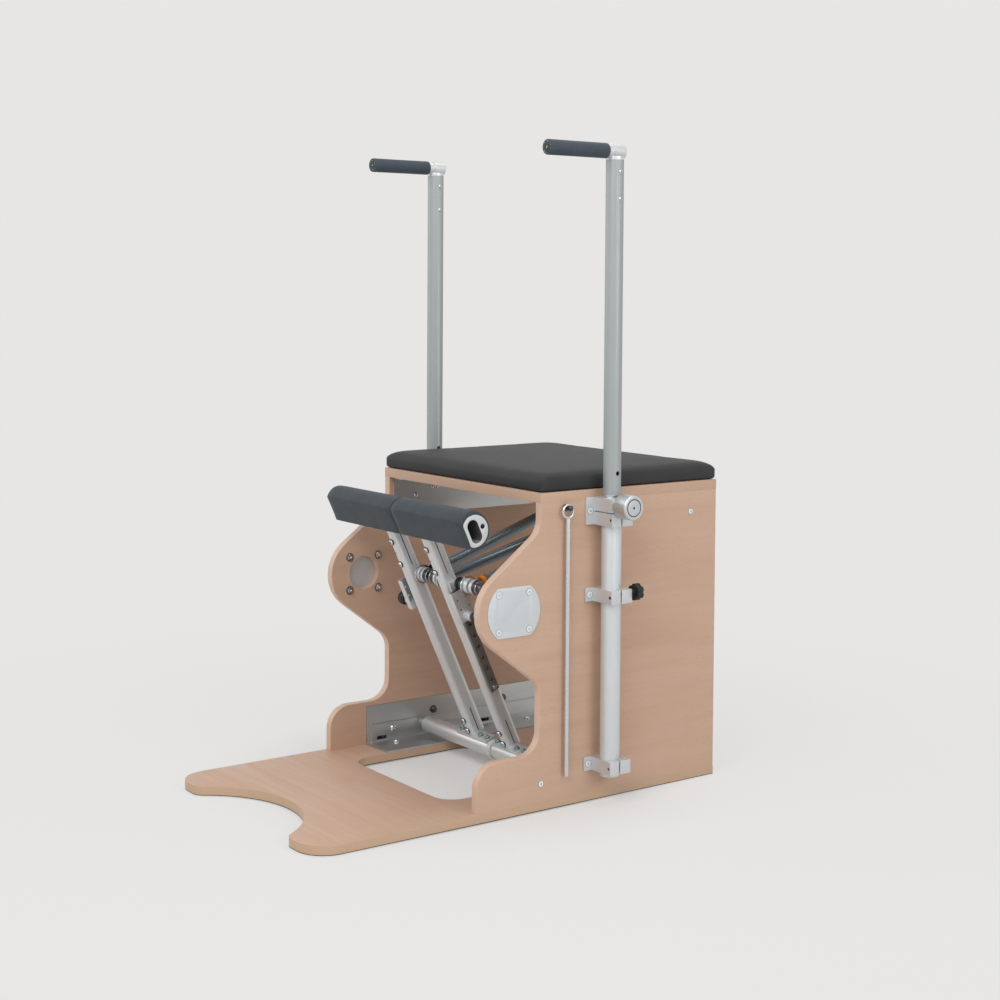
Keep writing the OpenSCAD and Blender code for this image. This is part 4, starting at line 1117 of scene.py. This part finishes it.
def dress_all():
    """Gives every rigid node its own solid again, softened and with its material."""
    # Planes that part out the patch of painted shade for the index hole on each pole's inner wall
    painted_hole_edges = []
    for k in range(8):
        y, z = math.cos(k * math.pi / 4), math.sin(k * math.pi / 4)
        edge = Vector((0, POLE_Y + INDEX_HOLE_R * y, INDEX_Z + INDEX_PITCH + INDEX_HOLE_R * z))
        painted_hole_edges.append((edge, Vector((0, y, z))))
    for side in SIDES:
        for base, (material, bevel, steps) in PLAIN.items():
            dressed(f"{base}_{side}", material, bevel, steps)
        dressed(f"carriage_{side}", ["clamp", "hub", "washer", "chrome"], 0.5, 2,
                pick=carriage_kind)
        dressed(f"pad_core_{side}", ["core", "bore"], 0.5, 2, pick=core_kind)
        dressed(f"rack_{side}", ["rack", "clamp"], 0.6, 2, pick=rack_kind,
                cuts=[(on_pedal(0, 0, RACK_HEAD), UP_ARM)])
        dressed(f"upper_pole_{side}", ["upper_pole", "inside"], 0.3, 1, pick=pole_kind,
                cuts=painted_hole_edges)
        dressed(f"side_panel_{side}", "panel", 3.2, 4, sharp=panel_joint)
        dressed(f"index_knob_{side}", ["turned", "inside"], 0.4, 2, pick=knob_kind)
        dressed(f"arm_clamp_{side}", ["clamp", "inside"], 0.8, 2, pick=foot_kind)
    # The dark band at the base's lower edge is painted shade
    dressed("base_board", ["board", "rubber"], 0.6, 2, pick=board_kind,
            cuts=[(Vector((0, 0, BASE_SHADE_LINE)), Vector((0, 0, 1)))])
    dressed("seat_board", "seat", 0.5, 2)
    dressed("rubber_feet", "rubber", 0.5, 2)
    dressed("pivot_axle", ["chrome", "nylon", "zinc"], 0.6, 2, pick=axle_kind,
            cuts=[(Vector((x, 0, 0)), Vector((1, 0, 0))) for x in (-SLEEVE_END, SLEEVE_END)])
    dressed("spring_anchor_bar", "chrome", 0.6, 2)
    dressed("storage_stud", "ball", 0.4, 2)
    dressed("connecting_rod", "rod", 0.5, 2)


# Floor, light and camera

BACKDROP = linear(231, 230, 228)
FLOOR_COLOUR = (0.79, 0.785, 0.775, 1.0)
FLOOR_HALF = 6.0

# How the floor turns into the backdrop: from and to a distance in metres, and from and to a share
FLOOR_NEAR = (0.22, 0.55, 0.20, 0.80)
FLOOR_FAR = (0.55, 1.8, 0.0, 0.20)

AMBIENT_COLOUR = (0.97, 0.98, 1.0, 1.0)
AMBIENT = 0.40

# Round lamps: place and aim in metres, diameter and watts
LAMPS = {
    "key": ((1.6, -2.6, 3.2), (0, 0, 0.5), 2.6, 78),
    "side": ((3.6, 0.6, 1.9), (0, 0, 0.5), 2.2, 35),
    "fill": ((-2.8, -2.2, 2.0), (0, 0, 0.4), 2.4, 20),
    "top": ((0, 0.6, 3.6), (0, 0, 0.5), 2.0, 20),
}


def floor():
    """Plain floor that takes the shadow and fades into the backdrop away from the chair."""
    h = FLOOR_HALF
    mesh = bpy.data.meshes.new("studio_floor")
    mesh.from_pydata([(-h, -h, 0), (h, -h, 0), (h, h, 0), (-h, h, 0)], [], [(0, 1, 2, 3)])
    sh = Shader("studio_floor")
    sh.set(Base_Color=FLOOR_COLOUR, Roughness=0.9, Specular_IOR_Level=0.1)
    glow = sh.tree.nodes.new("ShaderNodeEmission")
    glow.inputs["Color"].default_value = BACKDROP
    blend = sh.tree.nodes.new("ShaderNodeMixShader")
    length = sh.tree.nodes.new("ShaderNodeVectorMath")
    length.operation = "LENGTH"
    sh.put(length.inputs[0], sh.place)
    fade = sh.math("ADD", sh.ramp(length.outputs["Value"], *FLOOR_NEAR),
                   sh.ramp(length.outputs["Value"], *FLOOR_FAR))
    path = sh.tree.nodes.new("ShaderNodeLightPath")
    seen = sh.math("MAXIMUM", path.outputs["Is Camera Ray"], path.outputs["Is Glossy Ray"])
    seen = sh.math("MAXIMUM", seen, path.outputs["Is Transmission Ray"])
    sh.put(blend.inputs[0], sh.math("MULTIPLY", fade, seen))
    sh.put(blend.inputs[1], sh.bsdf.outputs[0])
    sh.put(blend.inputs[2], glow.outputs[0])
    sh.put(sh.tree.nodes["Material Output"].inputs["Surface"], blend.outputs[0])
    mesh.materials.append(sh.mat)
    plane = bpy.data.objects.new("studio_floor", mesh)
    bpy.context.scene.collection.objects.link(plane)


def area_light(name, at, aim, size, power):
    data = bpy.data.lights.new(name, "AREA")
    data.shape = "DISK"
    data.size = size
    data.energy = power
    lamp = bpy.data.objects.new(name, data)
    bpy.context.scene.collection.objects.link(lamp)
    lamp.location = at
    lamp.rotation_euler = (Vector(aim) - Vector(at)).to_track_quat("-Z", "Y").to_euler()


def world():
    """Even light on the object, and the pale backdrop for what the camera and gloss see."""
    bpy.context.scene.world = bpy.data.worlds.new("studio")
    bpy.context.scene.world.use_nodes = True
    tree = bpy.context.scene.world.node_tree
    fill = tree.nodes["Background"]
    fill.inputs["Color"].default_value = AMBIENT_COLOUR
    fill.inputs["Strength"].default_value = AMBIENT
    seen = tree.nodes.new("ShaderNodeBackground")
    seen.inputs["Color"].default_value = BACKDROP
    seen.inputs["Strength"].default_value = 1.0
    path = tree.nodes.new("ShaderNodeLightPath")
    either = path.outputs["Is Camera Ray"]
    for ray in ("Is Glossy Ray", "Is Transmission Ray"):
        node = tree.nodes.new("ShaderNodeMath")
        node.operation = "MAXIMUM"
        tree.links.new(either, node.inputs[0])
        tree.links.new(path.outputs[ray], node.inputs[1])
        either = node.outputs[0]
    blend = tree.nodes.new("ShaderNodeMixShader")
    tree.links.new(either, blend.inputs[0])
    tree.links.new(fill.outputs[0], blend.inputs[1])
    tree.links.new(seen.outputs[0], blend.inputs[2])
    tree.links.new(blend.outputs[0], tree.nodes["World Output"].inputs["Surface"])


def camera():
    """The photograph's camera."""
    azimuth, pitch, roll = (math.radians(v) for v in (CAMERA_AZIMUTH, CAMERA_PITCH, CAMERA_ROLL))
    back = Vector((math.sin(azimuth) * math.cos(pitch), -math.cos(azimuth) * math.cos(pitch),
                   math.sin(pitch)))
    level = (-back).cross(Vector((0, 0, 1))).normalized()
    upright = level.cross(-back)
    right = level * math.cos(roll) + upright * math.sin(roll)
    up = upright * math.cos(roll) - level * math.sin(roll)
    data = bpy.data.cameras.new("camera")
    data.sensor_width = SENSOR_MM
    data.lens = FOCAL_PIXELS / IMAGE_PIXELS * SENSOR_MM
    data.shift_y = CAMERA_SHIFT
    data.clip_start = 0.05
    eye = bpy.data.objects.new("camera", data)
    bpy.context.scene.collection.objects.link(eye)
    turn = Matrix((right, up, back)).transposed().to_4x4()
    eye.matrix_world = Matrix.Translation(Vector(CAMERA_AT) * MM) @ turn
    bpy.context.scene.camera = eye


def studio():
    bpy.context.scene.view_settings.view_transform = "Standard"
    floor()
    world()
    for name, (at, aim, size, power) in LAMPS.items():
        area_light(name, at, aim, size, power)
    camera()


dress_all()
seat_cushion()
for side, s in SIDES.items():
    pad_foam(side, s)
    handle_grip(side, s)
    spring("inner", side, s, INNER_X, INNER_ANCHOR_X)
    chassis_fasteners(side, s)
    pole_fasteners(side, s)
    pedal_fasteners(side, s)
spring("outer", "right", 1, OUTER_X, OUTER_X)
spring_ring("left", -1, INNER_X, INNER_ANCHOR_X, "hub")
spring_ring("right", 1, OUTER_X, OUTER_X, "orange")
studio()
